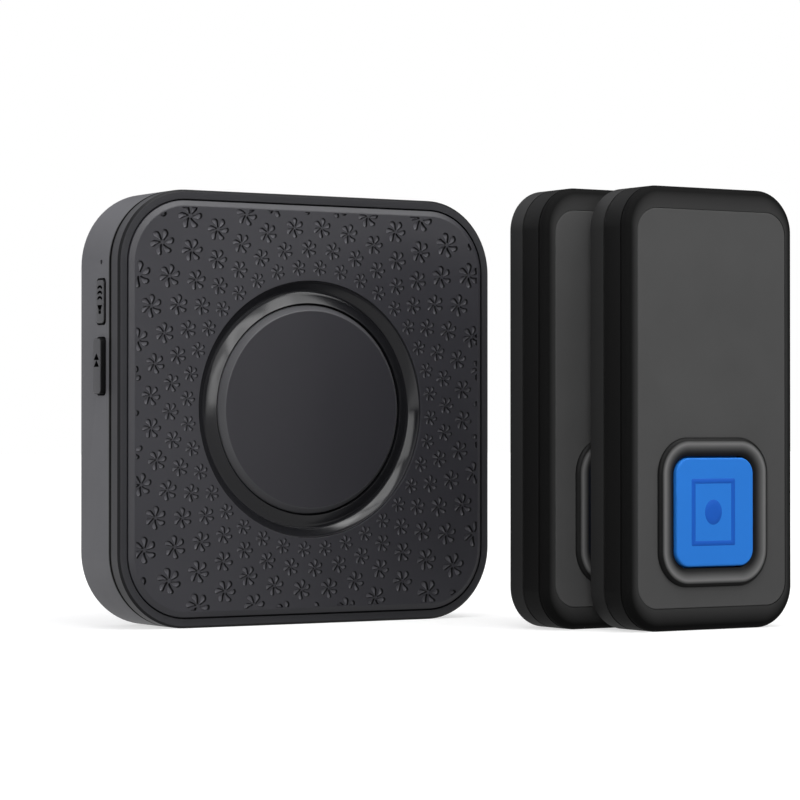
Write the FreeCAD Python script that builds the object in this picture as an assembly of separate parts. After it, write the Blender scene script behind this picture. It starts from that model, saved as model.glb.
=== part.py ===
import FreeCAD, Part
import math
import os
from FreeCAD import Vector

# Wireless doorbell kit: a square chime receiver and two identical push-button
# transmitters that stand in front of it, one partly behind the other.
# Millimetres. X runs to the right, Y to the back, Z up; the fronts face -Y.
# The origin is the middle of the kit's footprint, on the ground.
# REC_ marks the receiver's sizes and TX_ a transmitter's. Each of the two is
# modelled from its own left front corner, with y = 0 on its front plane.

os.makedirs("parts", exist_ok=True)

# Kit layout, measured from the receiver's left front corner
REC_SIDE = 90.0             # width and height of the square receiver
TX_WIDTH = 42.8
TX_HEIGHT = 90.0
TX_A_LEFT = 82.5            # left side of the near transmitter
TX_A_FRONT = -61.1          # its face plane
TX_B_STEP_X = -9.6          # far transmitter against the near one
STACK_GAP = 0.4             # air between the two transmitters

# Receiver case
REC_CORNER = 15.5
REC_DEPTH = 18.2            # front band to back
REC_WALL = 2.0
BACK_WALL = 1.8
BACK_BEVEL = 1.2
COVER_DEPTH = 3.4           # side of the front cover that shows
PARTING_GROOVE = 0.6
LIP_FIT = 0.1
LIP_WALL = 1.2
LIP_REACH = 0.9             # how far the cover's lip goes into the shell
COVER_SHOULDER = 0.5
HOOK_WIDTH = 8.0            # hooks at the foot of the cover's lip
HOOK_SPACING = 44.0
HOOK_REACH = 2.3            # from the shell's front edge
HOOK_CATCH = 0.7
HOOK_CATCH_LENGTH = 0.8
HOOK_FIT = 0.1

# Receiver front: band, bevelled pattern panel, hollow ring, centre disc
BAND_WIDTH = 1.9
PANEL_GAP = 0.2
PANEL_SEAT = 1.0
PANEL_RISE = 0.75           # face of the panel in front of the band
BEVEL_WIDTH = 1.25
RING_RADIUS = 27.0
RING_LIP = 0.35
RING_FIT = 0.05
RING_SUNK = 0.55            # its lip behind the panel's face
RING_INNER = 22.3
RING_INNER_TOP = 0.6
RING_VALLEY = 1.7
RING_VALLEY_INNER = 23.7
RING_VALLEY_OUTER = 25.4
DISH_DEPTH = 2.4            # seat of the ring and of the disc's ribs
DISC_BASE_RADIUS = 21.9
DISC_FACE_RADIUS = 20.7
DISC_RISE = 0.8             # its face, about level with the panel's
DISC_EDGE = 0.75            # where its bevel ends
DISC_BACK = 1.2
DISC_RIBS = 3
DISC_RIB_INNER = 14.0
DISC_RIB_OUTER = 20.0
DISC_RIB_THICK = 1.2

# Loudspeaker behind the disc
SPEAKER_RADIUS = 15.0
SPEAKER_FIT = 0.15
SPEAKER_CLAWS = 4
CLAW_THICK = 1.2
CLAW_WIDTH = 5.0
CLAW_DEPTH = 3.0
SPEAKER_GASKET = 0.6
SPEAKER_RIM = 1.6
SPEAKER_RIM_DEPTH = 0.8
SPEAKER_DEPTH = 4.6
SPEAKER_SHEET = 0.6
SPEAKER_PLATE_RADIUS = 9.0
MAGNET_RADIUS = 8.0
MAGNET_DEPTH = 3.0
CONE_FILM = 0.3
CONE_DEPTH = 2.2
CONE_DOME_RADIUS = 4.5
CONE_DOME_RISE = 0.8
SOUND_SLOTS = 5
SLOT_WIDTH = 1.6
SLOT_PITCH = 3.6
SLOT_RIM = 2.5              # from the slots' ends to the loudspeaker's edge
LEAD_WIDTH = 0.8
LEAD_THICK = 0.4
LEAD_SPACING = 3.2
LEAD_RISE = 1.2

# Receiver case screws, in the two upper corners
SCREW_INSET = 9.5
POST_RADIUS = 2.8
BOSS_RADIUS = 3.2
BOSS_FACE = 9.0             # plane where cover posts meet the shell bosses
CASE_SCREW_RADIUS = 1.1
CASE_SCREW_BITE = 4.5
CASE_HEAD_RADIUS = 2.1
CASE_HEAD_HEIGHT = 1.4
CASE_HEAD_SUNK = 1.9

# Receiver circuit board
BOARD_THICK = 1.2
BOARD_FRONT = 9.8
BOARD_SIDE_INSET = 5.0
BOARD_TOP_INSET = 6.0
BOARD_CLEAR = 0.6           # from the bosses
BOARD_RIB = 2.5             # square ribs of both shells that clamp the board
LOW_RIB_IN, LOW_RIB_UP = 11.0, 4.0
TOP_RIB_IN, TOP_RIB_DOWN = 16.0, 4.0
MAGNET_HOLE = 1.5           # from the magnet to the edge of the board's hole

# Parts on the receiver's board; places are from its middle and its top edge
CHIP_LENGTH, CHIP_WIDTH, CHIP_HEIGHT, CHIP_LEGS = 5.2, 4.0, 1.7, 4
CHIP_RIGHT, CHIP_UP = 15.0, 7.0
CARD_WIDTH, CARD_HEIGHT, CARD_THICK = 18.0, 12.0, 1.0
CARD_LEFT, CARD_DOWN = 18.0, 4.0
CAN_INSET, CAN_WIDTH, CAN_HEIGHT, CAN_THICK = 3.0, 11.0, 9.0, 2.0
AERIAL_RADIUS, AERIAL_LENGTH, AERIAL_DOWN = 0.4, 17.3, 2.0
CAPACITOR_RADIUS, CAPACITOR_HEIGHT, CAPACITOR_EDGE = 3.15, 6.0, 0.4
CAPACITOR_RIGHT, CAPACITOR_DOWN = 12.0, 12.0
LED_WIDTH, LED_DEPTH, LED_LENS_SIDE, LED_LENS = 2.8, 2.4, 1.8, 0.8

# Legs of the chips on all the boards
LEG_WIDTH, LEG_REACH, LEG_THICK, CHIP_LIFT = 0.5, 0.9, 0.4, 0.15

# Side keys in the receiver's left wall
KEY_Y = 7.8
KEY_WIDTH = 4.0
KEY_CORNER = 0.8
KEY_HEIGHT = {"volume": 9.4, "melody": 11.8}
KEY_UP = {"volume": 21.9, "melody": 8.7}      # above the receiver's middle
KEY_PROUD = {"volume": 0.35, "melody": 1.1}
KEY_FIT = 0.12
KEY_FLANGE = 0.7            # how far the flange reaches past the cap
KEY_FLANGE_THICK = 0.9
KEY_TRAVEL = 0.5
SIDE_SWITCH_IN = 5.2
SIDE_SWITCH_DEEP = 3.5
SIDE_SWITCH_TALL = 3.6
SIDE_SWITCH_WIDE = 6.0
STEM_SIDE = 1.8
STEM_FIT = 0.1
STEM_SUNK = 0.5
STEM_SPARE = 0.2
PINHOLE_UP = 30.0
PINHOLE_RADIUS = 0.5

# Battery bay in the back of the receiver
CELL_RADIUS = 5.25
CELL_LENGTH = 44.5
NUB_RADIUS = 1.9
NUB_LENGTH = 0.8
CELL_GAP = 0.4
CELL_DOOR_GAP = 0.5
BAY_LENGTH = 50.0
BAY_BOTTOM = 5.0
BAY_WALL = 1.2
BAY_SLACK = 0.6
CONTACT_THICK = 0.4
CONTACT_SIDE = 8.0
LEAF_THICK = 0.3
LEAF_WIDTH = 6.0
LEAF_SPAN = 7.0
LEAF_CREST = 2.4
BOARD_ABOVE_BAY = 2.8
DOOR_LEDGE = 1.0            # how far the door reaches past the bay
DOOR_THICK = 1.4
DOOR_SEAT_GAP = 0.1
DOOR_FIT = 0.2
DOOR_GROOVES = 4
GROOVE_PITCH, GROOVE_WIDTH, GROOVE_LENGTH, GROOVE_DEPTH = 2.0, 1.0, 18.0, 0.4
GROOVE_UP = 5.0             # lowest groove above the door's foot
NAIL_WIDTH, NAIL_HEIGHT, NAIL_DEPTH = 10.0, 2.5, 0.7
DOOR_PAD_LENGTH, DOOR_PAD_WIDTH, DOOR_PAD_THICK = 34.0, 1.2, 0.3

# Keyhole hangers in the back of the receiver
HANGER_SPACING = 40.0
HANGER_DOWN = 28.0          # head of the keyhole below the receiver's top
HANGER_HEAD_RADIUS = 4.2
HANGER_NECK_RADIUS = 2.3
HANGER_RISE = 7.0

# Transmitter case, measured from its own face plane
TX_CORNER = 8.5
TX_WALL = 1.5
COVER_REAR = 2.0            # edge of the front cover
TX_GROOVE = 0.5
CASE_REAR = 7.7
CASE_INNER = 6.9
PLATE_FRONT = 8.2
PLATE_REAR = 13.4
PLATE_BACK_WALL = 1.8
PLATE_RIM = 1.6
PLATE_BEVEL = 0.8
TX_LIP_FIT = 0.05
TX_LIP_WALL = 0.8
TX_LIP_END = 4.4
CATCH_LENGTH = 6.0          # snap catches on the lip's long sides
CATCH_DEPTH = 0.4
CATCH_WIDTH = 0.8
CATCH_FIT = 0.1
CATCH_SPACING = 50.0
FACE_SIDE_MARGIN = 2.5
FACE_END_MARGIN = 4.6
FACE_CORNER = 4.9
FACE_THICK = 0.8
FACE_FIT = 0.05
CROWN_STEPS = 3

# Push button and its rounded surround
BUTTON_Z = 24.0
BUTTON_WIDTH = 19.6
BUTTON_HEIGHT = 22.0
BUTTON_CORNER = 3.3
BUTTON_RISE = 0.9
BUTTON_EDGE = 0.35
BUTTON_GAP = 0.35
BUTTON_TRAVEL = 0.6
BEAD_WIDTH = 3.8
BEAD_HEIGHT = 1.1
BEAD_STEPS = 3              # flats that make up the bead's round front
COLLAR_THICK = 2.6
FLANGE_REACH = 1.0
FLANGE_GAP = 0.1
FLANGE_THICK = 0.8

# Inside a transmitter
COIN_RADIUS = 10.0
COIN_THICK = 3.2
COIN_RIM = 1.2              # step around the smaller pole
COIN_STEP = 0.7
COIN_DOWN = 33.0            # middle of the cell below the top
CLIP_THICK = 0.3
CLIP_REACH = 0.9
CLIP_WIDTH = 5.2
CLIP_FOOT = 1.6
TX_BOARD_FRONT = 5.65
TX_BOARD_THICK = 0.8
TX_BOARD_SIDE = 6.0         # from the case's sides to the board
TX_BOARD_END = 13.0         # from its top and foot
TX_RIB = 2.0                # square ribs of case and cover that clamp the board
TX_RIB_IN, TX_RIB_UP = 1.2, 3.0
TX_SWITCH_SIDE = 6.0
TX_SWITCH_FRONT = 3.8
TX_STEM_SIDE = 2.8
TX_STEM_SUNK = 0.7
TX_STEM_SPARE = 0.1
TX_CHIP_LENGTH, TX_CHIP_WIDTH, TX_CHIP_HEIGHT, TX_CHIP_LEGS = 4.0, 4.0, 1.5, 3
TX_CHIP_UP = 1.5            # above the button's height
SEAL_INSET = 0.5

# Slide-on fixing between case and wall plate
LUG_SPACING_X = 20.0
LUG_SPACING_Z = 30.0
LUG_HEIGHT = 5.0
LUG_STEM = 2.4
LUG_HEAD = 5.2
LUG_NECK_END = 9.3
LUG_HEAD_END = 10.5
RAIL_FIT = 0.25
RAIL_LIP = 0.55
RAIL_SIDE = 1.2
RAIL_STOP = 1.2
PLATE_HOLE_RADIUS = 2.1
PLATE_HOLE_SPACING = 54.0

# Sizes that follow from the ones above
REC_MID = REC_SIDE / 2
SHELL_FRONT = COVER_DEPTH + PARTING_GROOVE
SHELL_INNER = REC_DEPTH - BACK_WALL
SPEAKER_FRONT = COVER_DEPTH + SPEAKER_GASKET
SPEAKER_BACK = SPEAKER_FRONT + SPEAKER_DEPTH
CASE_HEAD_SEAT = REC_DEPTH - CASE_HEAD_SUNK - CASE_HEAD_HEIGHT
BAY_HEIGHT = 4 * CELL_RADIUS + CELL_GAP + BAY_SLACK
BAY_LEFT = REC_MID - BAY_LENGTH / 2
BAY_RIGHT = REC_MID + BAY_LENGTH / 2
BAY_TOP = BAY_BOTTOM + BAY_HEIGHT
DOOR_SEAT = REC_DEPTH - DOOR_THICK - DOOR_SEAT_GAP
CELL_Y = DOOR_SEAT - CELL_DOOR_GAP - CELL_RADIUS
BAY_FLOOR = CELL_Y - CELL_RADIUS
CELL_ROWS = {
    "lower": BAY_BOTTOM + BAY_SLACK / 2 + CELL_RADIUS,
    "upper": BAY_BOTTOM + BAY_SLACK / 2 + 3 * CELL_RADIUS + CELL_GAP,
}
BOARD_BACK = BOARD_FRONT + BOARD_THICK
BOARD_BOTTOM = BAY_TOP + BAY_WALL + BOARD_ABOVE_BAY
BOARD_TOP = REC_SIDE - BOARD_TOP_INSET
PINHOLE_Z = REC_MID + PINHOLE_UP
TX_MID = TX_WIDTH / 2
CASE_FRONT = COVER_REAR + TX_GROOVE
FLANGE_FRONT = COVER_REAR + FLANGE_GAP
FLANGE_REAR = FLANGE_FRONT + FLANGE_THICK
TX_BOARD_BACK = TX_BOARD_FRONT + TX_BOARD_THICK
COIN_Z = TX_HEIGHT - COIN_DOWN
STEM_END = TX_SWITCH_FRONT + TX_STEM_SUNK
MAGNET_HOLE_RADIUS = MAGNET_RADIUS + MAGNET_HOLE
HANGER_Z = REC_SIDE - HANGER_DOWN
TINY = 1e-4
PAST = 1.0                  # how far cutting tools reach past a surface


# Small modelling helpers
def outline(x0, x1, z0, z1, radius, y):
    """Rectangle with round corners in a plane of constant y."""
    k = radius * (1 - math.sqrt(0.5))
    sides = [
        ((x0 + radius, z0), (x1 - radius, z0), (x1 - k, z0 + k)),
        ((x1, z0 + radius), (x1, z1 - radius), (x1 - k, z1 - k)),
        ((x1 - radius, z1), (x0 + radius, z1), (x0 + k, z1 - k)),
        ((x0, z1 - radius), (x0, z0 + radius), (x0 + k, z0 + k)),
    ]
    edges = []
    for i, (start, end, middle) in enumerate(sides):
        following = sides[(i + 1) % 4][0]
        p0, p1, pm, p2 = (Vector(a, y, b) for a, b in (start, end, middle, following))
        edges.append(Part.LineSegment(p0, p1).toShape())
        edges.append(Part.Arc(p1, pm, p2).toShape())
    return Part.Wire(edges)


def slab(x0, x1, z0, z1, radius, y0, y1):
    """Plate with round corners, from y0 to y1."""
    face = Part.Face(outline(x0, x1, z0, z1, radius, y0))
    return face.extrude(Vector(0, y1 - y0, 0))


def square_slab(inset, y0, y1):
    """Slab with the receiver's outline moved inwards."""
    far = REC_SIDE - inset
    return slab(inset, far, inset, far, REC_CORNER - inset, y0, y1)


def tall_slab(inset, y0, y1):
    """Slab with a transmitter's outline moved inwards."""
    radius = TX_CORNER - inset
    return slab(inset, TX_WIDTH - inset, inset, TX_HEIGHT - inset, radius, y0, y1)


def block(x0, x1, y0, y1, z0, z1):
    return Part.makeBox(x1 - x0, y1 - y0, z1 - z0, Vector(x0, y0, z0))


def square_rib(x, z, side, y0, y1):
    half = side / 2
    return block(x - half, x + half, y0, y1, z - half, z + half)


def edge_ribs(width, height, corner, inset, thick, y0, y1):
    """Four straight ribs along the sides of a round-cornered outline."""
    outer, inner = inset, inset + thick
    return [
        block(corner, width - corner, y0, y1, outer, inner),
        block(corner, width - corner, y0, y1, height - inner, height - outer),
        block(outer, inner, y0, y1, corner, height - corner),
        block(width - inner, width - outer, y0, y1, corner, height - corner),
    ]


def rod_x(y, z, radius, x0, x1):
    return Part.makeCylinder(radius, x1 - x0, Vector(x0, y, z), Vector(1, 0, 0))


def rod_y(x, z, radius, y0, y1):
    return Part.makeCylinder(radius, y1 - y0, Vector(x, y0, z), Vector(0, 1, 0))


def centre_rod(radius, y0, y1):
    """Round bar on the middle axis of the receiver."""
    return rod_y(REC_MID, REC_MID, radius, y0, y1)


def around_centre(shape, degrees):
    """The shape turned about the middle axis of the receiver."""
    shape.rotate(Vector(REC_MID, 0, REC_MID), Vector(0, 1, 0), degrees)
    return shape


def prism(points, run):
    """Straight-sided face through the points, pushed along run."""
    corners = [Vector(*p) for p in points]
    return Part.Face(Part.makePolygon(corners + corners[:1])).extrude(Vector(*run))


def turned(x, z, profile):
    """Solid turned about the Y direction from (radius, y) corners."""
    corners = [Vector(x + r, y, z) for r, y in profile]
    face = Part.Face(Part.makePolygon(corners + corners[:1]))
    return face.revolve(Vector(x, 0, z), Vector(0, 1, 0), 360)


def fused(first, *others):
    return first.multiFuse(list(others)).removeSplitter()


def cut(shape, *tools):
    return shape.cut(Part.makeCompound(list(tools)))


def edges_at(shape, y):
    """Edges that lie in the plane y."""
    boxes = [(edge, edge.BoundBox) for edge in shape.Edges]
    return [edge for edge, b in boxes if max(abs(b.YMin - y), abs(b.YMax - y)) < TINY]


def screw(x, z, radius, tip, seat, head_radius, head_height):
    """Screw along Y, with its head on the +Y side and its point at tip."""
    return turned(x, z, [
        (0, tip),
        (radius, tip),
        (radius, seat),
        (head_radius, seat),
        (head_radius, seat + head_height),
        (0, seat + head_height),
    ])


def chip(x0, z0, length, width, height, board_front, legs):
    """Flat chip package on the front of a board, with legs along both long sides."""
    front = board_front - height
    parts = [block(x0, x0 + length, front, board_front - CHIP_LIFT, z0, z0 + width)]
    pitch = length / legs
    for n in range(legs):
        x = x0 + pitch * (n + 0.5) - LEG_WIDTH / 2
        for z in (z0 - LEG_REACH, z0 + width):
            parts.append(block(
                x, x + LEG_WIDTH, board_front - LEG_THICK, board_front, z, z + LEG_REACH,
            ))
    return fused(*parts)


# Receiver case
def screw_corners():
    """Axes of the case screws."""
    z = REC_SIDE - SCREW_INSET
    return [(SCREW_INSET, z), (REC_SIDE - SCREW_INSET, z)]


def hook_block(grow, y0, y1, z0, z1, side):
    """Block on one of the two hooks at the foot of the case."""
    x, half = REC_MID + side * HOOK_SPACING / 2, HOOK_WIDTH / 2 + grow
    return block(x - half, x + half, y0, y1, z0, z1)


def receiver_front_cover():
    plate = square_slab(0, 0, COVER_DEPTH)
    plate = plate.makeChamfer(COVER_SHOULDER, edges_at(plate, 0))
    plate = cut(
        plate,
        square_slab(BAND_WIDTH, -PAST, PANEL_SEAT),
        centre_rod(RING_RADIUS, 0, DISH_DEPTH),
    )
    lip_inset = REC_WALL + LIP_FIT
    lip_back = SHELL_FRONT + LIP_REACH
    added = edge_ribs(
        REC_SIDE, REC_SIDE, REC_CORNER, lip_inset, LIP_WALL, COVER_DEPTH, lip_back,
    )
    hook_back = SHELL_FRONT + HOOK_REACH
    catch_front = hook_back - HOOK_CATCH_LENGTH
    for side in (-1, 1):
        added.append(hook_block(
            0, COVER_DEPTH, hook_back, lip_inset, lip_inset + LIP_WALL, side,
        ))
        added.append(hook_block(
            0, catch_front, hook_back, lip_inset - HOOK_CATCH, lip_inset, side,
        ))
    added += speaker_claws()
    added += [rod_y(x, z, POST_RADIUS, COVER_DEPTH, BOSS_FACE) for x, z in screw_corners()]
    added += [square_rib(x, z, BOARD_RIB, COVER_DEPTH, BOARD_FRONT) for x, z in board_ribs()]
    pilot_front = BOSS_FACE - CASE_SCREW_BITE
    pilots = [
        rod_y(x, z, CASE_SCREW_RADIUS, pilot_front, BOSS_FACE) for x, z in screw_corners()
    ]
    return cut(fused(plate, *added), *pilots, *sound_slots())


def speaker_claws():
    """Blocks on the back of the cover that stand around the loudspeaker's edge."""
    claws = []
    inner = REC_MID + SPEAKER_RADIUS + SPEAKER_FIT
    for n in range(SPEAKER_CLAWS):
        claw = block(
            inner, inner + CLAW_THICK,
            COVER_DEPTH, COVER_DEPTH + CLAW_DEPTH,
            REC_MID - CLAW_WIDTH / 2, REC_MID + CLAW_WIDTH / 2,
        )
        claws.append(around_centre(claw, 360 * (n + 0.5) / SPEAKER_CLAWS))
    return claws


def sound_slots():
    """Level slots through the cover, in front of the loudspeaker cone."""
    slots = []
    reach, half = SPEAKER_RADIUS - SLOT_RIM, SLOT_WIDTH / 2
    for n in range(SOUND_SLOTS):
        up = SLOT_PITCH * (n - (SOUND_SLOTS - 1) / 2)
        side = math.sqrt(reach ** 2 - (abs(up) + half) ** 2)
        z = REC_MID + up
        slots.append(block(
            REC_MID - side, REC_MID + side, DISH_DEPTH, COVER_DEPTH, z - half, z + half,
        ))
    return slots


def receiver_rear_shell():
    shell = square_slab(0, SHELL_FRONT, REC_DEPTH)
    shell = shell.makeChamfer(BACK_BEVEL, edges_at(shell, REC_DEPTH))
    shell = cut(shell, square_slab(REC_WALL, SHELL_FRONT, SHELL_INNER))
    tray = block(
        BAY_LEFT - BAY_WALL, BAY_RIGHT + BAY_WALL,
        SHELL_FRONT, DOOR_SEAT,
        BAY_BOTTOM - BAY_WALL, BAY_TOP + BAY_WALL,
    )
    added = [tray]
    added += [rod_y(x, z, BOSS_RADIUS, BOSS_FACE, SHELL_INNER) for x, z in screw_corners()]
    added += [square_rib(x, z, BOARD_RIB, BOARD_BACK, SHELL_INNER) for x, z in board_ribs()]
    tools = [block(BAY_LEFT, BAY_RIGHT, BAY_FLOOR, REC_DEPTH, BAY_BOTTOM, BAY_TOP)]
    tools.append(door_block(DOOR_FIT, DOOR_SEAT, REC_DEPTH))
    for x, z in screw_corners():
        tools.append(rod_y(x, z, CASE_SCREW_RADIUS, BOSS_FACE, CASE_HEAD_SEAT))
        tools.append(rod_y(x, z, CASE_HEAD_RADIUS + LIP_FIT, CASE_HEAD_SEAT, REC_DEPTH))
    hook_back = SHELL_FRONT + HOOK_REACH
    for side in (-1, 1):
        tools.append(keyhole(REC_MID + side * HANGER_SPACING / 2))
        tools.append(hook_block(
            HOOK_FIT, hook_back - HOOK_CATCH_LENGTH - HOOK_FIT, hook_back + HOOK_FIT,
            REC_WALL - HOOK_CATCH, REC_WALL, side,
        ))
    tools += [key_bar(name, KEY_FIT, -PAST, REC_WALL + PAST) for name in KEY_UP]
    tools.append(rod_x(KEY_Y, PINHOLE_Z, PINHOLE_RADIUS, -PAST, REC_WALL + PAST))
    return cut(fused(shell, *added), *tools)


def keyhole(x):
    """Round head for a screw's head, and a narrower neck above it."""
    front, high = SHELL_INNER - PAST, HANGER_Z + HANGER_RISE
    neck = HANGER_NECK_RADIUS
    return fused(
        rod_y(x, HANGER_Z, HANGER_HEAD_RADIUS, front, REC_DEPTH),
        rod_y(x, high, neck, front, REC_DEPTH),
        block(x - neck, x + neck, front, REC_DEPTH, HANGER_Z, high),
    )


def door_block(grow, y0, y1):
    reach = DOOR_LEDGE + grow
    return block(
        BAY_LEFT - reach, BAY_RIGHT + reach, y0, y1, BAY_BOTTOM - reach, BAY_TOP + reach,
    )


def receiver_battery_door():
    """Flat lid with finger grooves, a nail notch and a strip that steadies the cells."""
    door_front = REC_DEPTH - DOOR_THICK
    low, high = BAY_BOTTOM - DOOR_LEDGE, BAY_TOP + DOOR_LEDGE
    tools = [block(
        REC_MID - NAIL_WIDTH / 2, REC_MID + NAIL_WIDTH / 2,
        REC_DEPTH - NAIL_DEPTH, REC_DEPTH,
        high - NAIL_HEIGHT, high,
    )]
    for n in range(DOOR_GROOVES):
        z = low + GROOVE_UP + GROOVE_PITCH * n
        tools.append(block(
            REC_MID - GROOVE_LENGTH / 2, REC_MID + GROOVE_LENGTH / 2,
            REC_DEPTH - GROOVE_DEPTH, REC_DEPTH,
            z, z + GROOVE_WIDTH,
        ))
    strip = block(
        REC_MID - DOOR_PAD_LENGTH / 2, REC_MID + DOOR_PAD_LENGTH / 2,
        DOOR_SEAT - DOOR_PAD_THICK, door_front,
        BAY_BOTTOM + DOOR_LEDGE, BAY_BOTTOM + DOOR_LEDGE + DOOR_PAD_WIDTH,
    )
    return fused(cut(door_block(0, door_front, REC_DEPTH), *tools), strip)


# Receiver front pieces
def receiver_pattern_panel():
    """Square plate with a bevelled edge and a round hole for the ring."""
    edge = BAND_WIDTH + PANEL_GAP
    inner = edge + BEVEL_WIDTH
    low = outline(edge, REC_SIDE - edge, edge, REC_SIDE - edge, REC_CORNER - edge, 0)
    high = outline(
        inner, REC_SIDE - inner, inner, REC_SIDE - inner, REC_CORNER - inner, -PANEL_RISE,
    )
    plateau = Part.makeLoft([low, high], True, True)
    hole = centre_rod(RING_RADIUS, -PANEL_RISE - PAST, PANEL_SEAT)
    return cut(fused(square_slab(edge, 0, PANEL_SEAT), plateau), hole)


def receiver_trim_ring():
    """Ring with a hollow, dished front inside a narrow lip."""
    rim, lip = RING_RADIUS - RING_FIT, RING_SUNK - PANEL_RISE
    return turned(REC_MID, REC_MID, [
        (RING_INNER, DISH_DEPTH),
        (rim, DISH_DEPTH),
        (rim, lip),
        (rim - RING_LIP, lip),
        (RING_VALLEY_OUTER, RING_VALLEY),
        (RING_VALLEY_INNER, RING_VALLEY),
        (RING_INNER, RING_INNER_TOP),
    ])


def receiver_centre_disc():
    """Round cover plate with a bevelled edge, on three radial ribs."""
    disc = turned(REC_MID, REC_MID, [
        (0, -DISC_RISE),
        (DISC_FACE_RADIUS, -DISC_RISE),
        (DISC_BASE_RADIUS, DISC_EDGE),
        (DISC_BASE_RADIUS, DISC_BACK),
        (0, DISC_BACK),
    ])
    ribs = []
    for n in range(DISC_RIBS):
        rib = block(
            REC_MID + DISC_RIB_INNER, REC_MID + DISC_RIB_OUTER,
            DISC_BACK, DISH_DEPTH,
            REC_MID - DISC_RIB_THICK / 2, REC_MID + DISC_RIB_THICK / 2,
        )
        ribs.append(around_centre(rib, 90 + 360 * n / DISC_RIBS))
    return fused(disc, *ribs)


# Loudspeaker
def receiver_speaker_gasket():
    return turned(REC_MID, REC_MID, [
        (SPEAKER_RADIUS, COVER_DEPTH),
        (SPEAKER_RADIUS, SPEAKER_FRONT),
        (SPEAKER_RADIUS - SPEAKER_RIM, SPEAKER_FRONT),
        (SPEAKER_RADIUS - SPEAKER_RIM, COVER_DEPTH),
    ])


def receiver_speaker_cone():
    """Thin film: flat rim on the gasket, cone, and a raised cap in the middle."""
    deep = SPEAKER_FRONT + CONE_DEPTH
    cap = deep - CONE_DOME_RISE
    roll = SPEAKER_RADIUS - SPEAKER_RIM
    return turned(REC_MID, REC_MID, [
        (SPEAKER_RADIUS, SPEAKER_FRONT),
        (SPEAKER_RADIUS, SPEAKER_FRONT + CONE_FILM),
        (roll, SPEAKER_FRONT + CONE_FILM),
        (CONE_DOME_RADIUS, deep + CONE_FILM),
        (0, cap + CONE_FILM),
        (0, cap),
        (CONE_DOME_RADIUS, deep),
        (roll, SPEAKER_FRONT),
    ])


def receiver_speaker_frame():
    """Pressed basket behind the cone: rim, sloping wall and back plate."""
    rim_front = SPEAKER_FRONT + CONE_FILM
    rim_back = SPEAKER_FRONT + SPEAKER_RIM_DEPTH
    return turned(REC_MID, REC_MID, [
        (SPEAKER_RADIUS, rim_front),
        (SPEAKER_RADIUS, rim_back),
        (SPEAKER_PLATE_RADIUS + SPEAKER_SHEET, SPEAKER_BACK),
        (0, SPEAKER_BACK),
        (0, SPEAKER_BACK - SPEAKER_SHEET),
        (SPEAKER_PLATE_RADIUS, SPEAKER_BACK - SPEAKER_SHEET),
        (SPEAKER_RADIUS - SPEAKER_RIM, rim_front),
    ])


def receiver_speaker_magnet():
    return centre_rod(MAGNET_RADIUS, SPEAKER_BACK, SPEAKER_BACK + MAGNET_DEPTH)


def receiver_speaker_leads():
    """Two flat leads from the loudspeaker's back through the board's hole to its back."""
    lane = REC_MID + (MAGNET_RADIUS + MAGNET_HOLE_RADIUS) / 2
    z0, z1 = lane - LEAD_THICK / 2, lane + LEAD_THICK / 2
    z3 = REC_MID + MAGNET_HOLE_RADIUS + LEAD_RISE
    z2 = z3 - LEAD_THICK
    back = BOARD_BACK + LEAD_RISE
    leads = []
    for side in (-1, 1):
        x = REC_MID + side * LEAD_SPACING / 2 - LEAD_WIDTH / 2
        path = [
            (SPEAKER_BACK, z0), (back, z0), (back, z3), (BOARD_BACK, z3),
            (BOARD_BACK, z2), (back - LEAD_THICK, z2), (back - LEAD_THICK, z1),
            (SPEAKER_BACK, z1),
        ]
        leads.append(prism([(x, y, z) for y, z in path], (LEAD_WIDTH, 0, 0)))
    return leads


# Receiver electronics
def board_ribs():
    """Places where ribs of both shells clamp the board."""
    left, right = BOARD_SIDE_INSET, REC_SIDE - BOARD_SIDE_INSET
    low, high = BOARD_BOTTOM + LOW_RIB_UP, BOARD_TOP - TOP_RIB_DOWN
    return [
        (left + LOW_RIB_IN, low), (right - LOW_RIB_IN, low),
        (left + TOP_RIB_IN, high), (right - TOP_RIB_IN, high),
    ]


def receiver_circuit_board():
    """Board with a hole for the magnet and its top corners cut out around the bosses."""
    left, right = BOARD_SIDE_INSET, REC_SIDE - BOARD_SIDE_INSET
    boss_reach = SCREW_INSET + BOSS_RADIUS + BOARD_CLEAR
    low = REC_SIDE - boss_reach
    return cut(
        block(left, right, BOARD_FRONT, BOARD_BACK, BOARD_BOTTOM, BOARD_TOP),
        centre_rod(MAGNET_HOLE_RADIUS, BOARD_FRONT, BOARD_BACK),
        block(left, boss_reach, BOARD_FRONT, BOARD_BACK, low, BOARD_TOP),
        block(REC_SIDE - boss_reach, right, BOARD_FRONT, BOARD_BACK, low, BOARD_TOP),
    )


def receiver_case_screws():
    tip = BOSS_FACE - CASE_SCREW_BITE
    return [
        screw(x, z, CASE_SCREW_RADIUS, tip, CASE_HEAD_SEAT, CASE_HEAD_RADIUS, CASE_HEAD_HEIGHT)
        for x, z in screw_corners()
    ]


def receiver_sound_chip():
    return chip(
        REC_MID + CHIP_RIGHT, REC_MID + CHIP_UP,
        CHIP_LENGTH, CHIP_WIDTH, CHIP_HEIGHT, BOARD_FRONT, CHIP_LEGS,
    )


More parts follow.
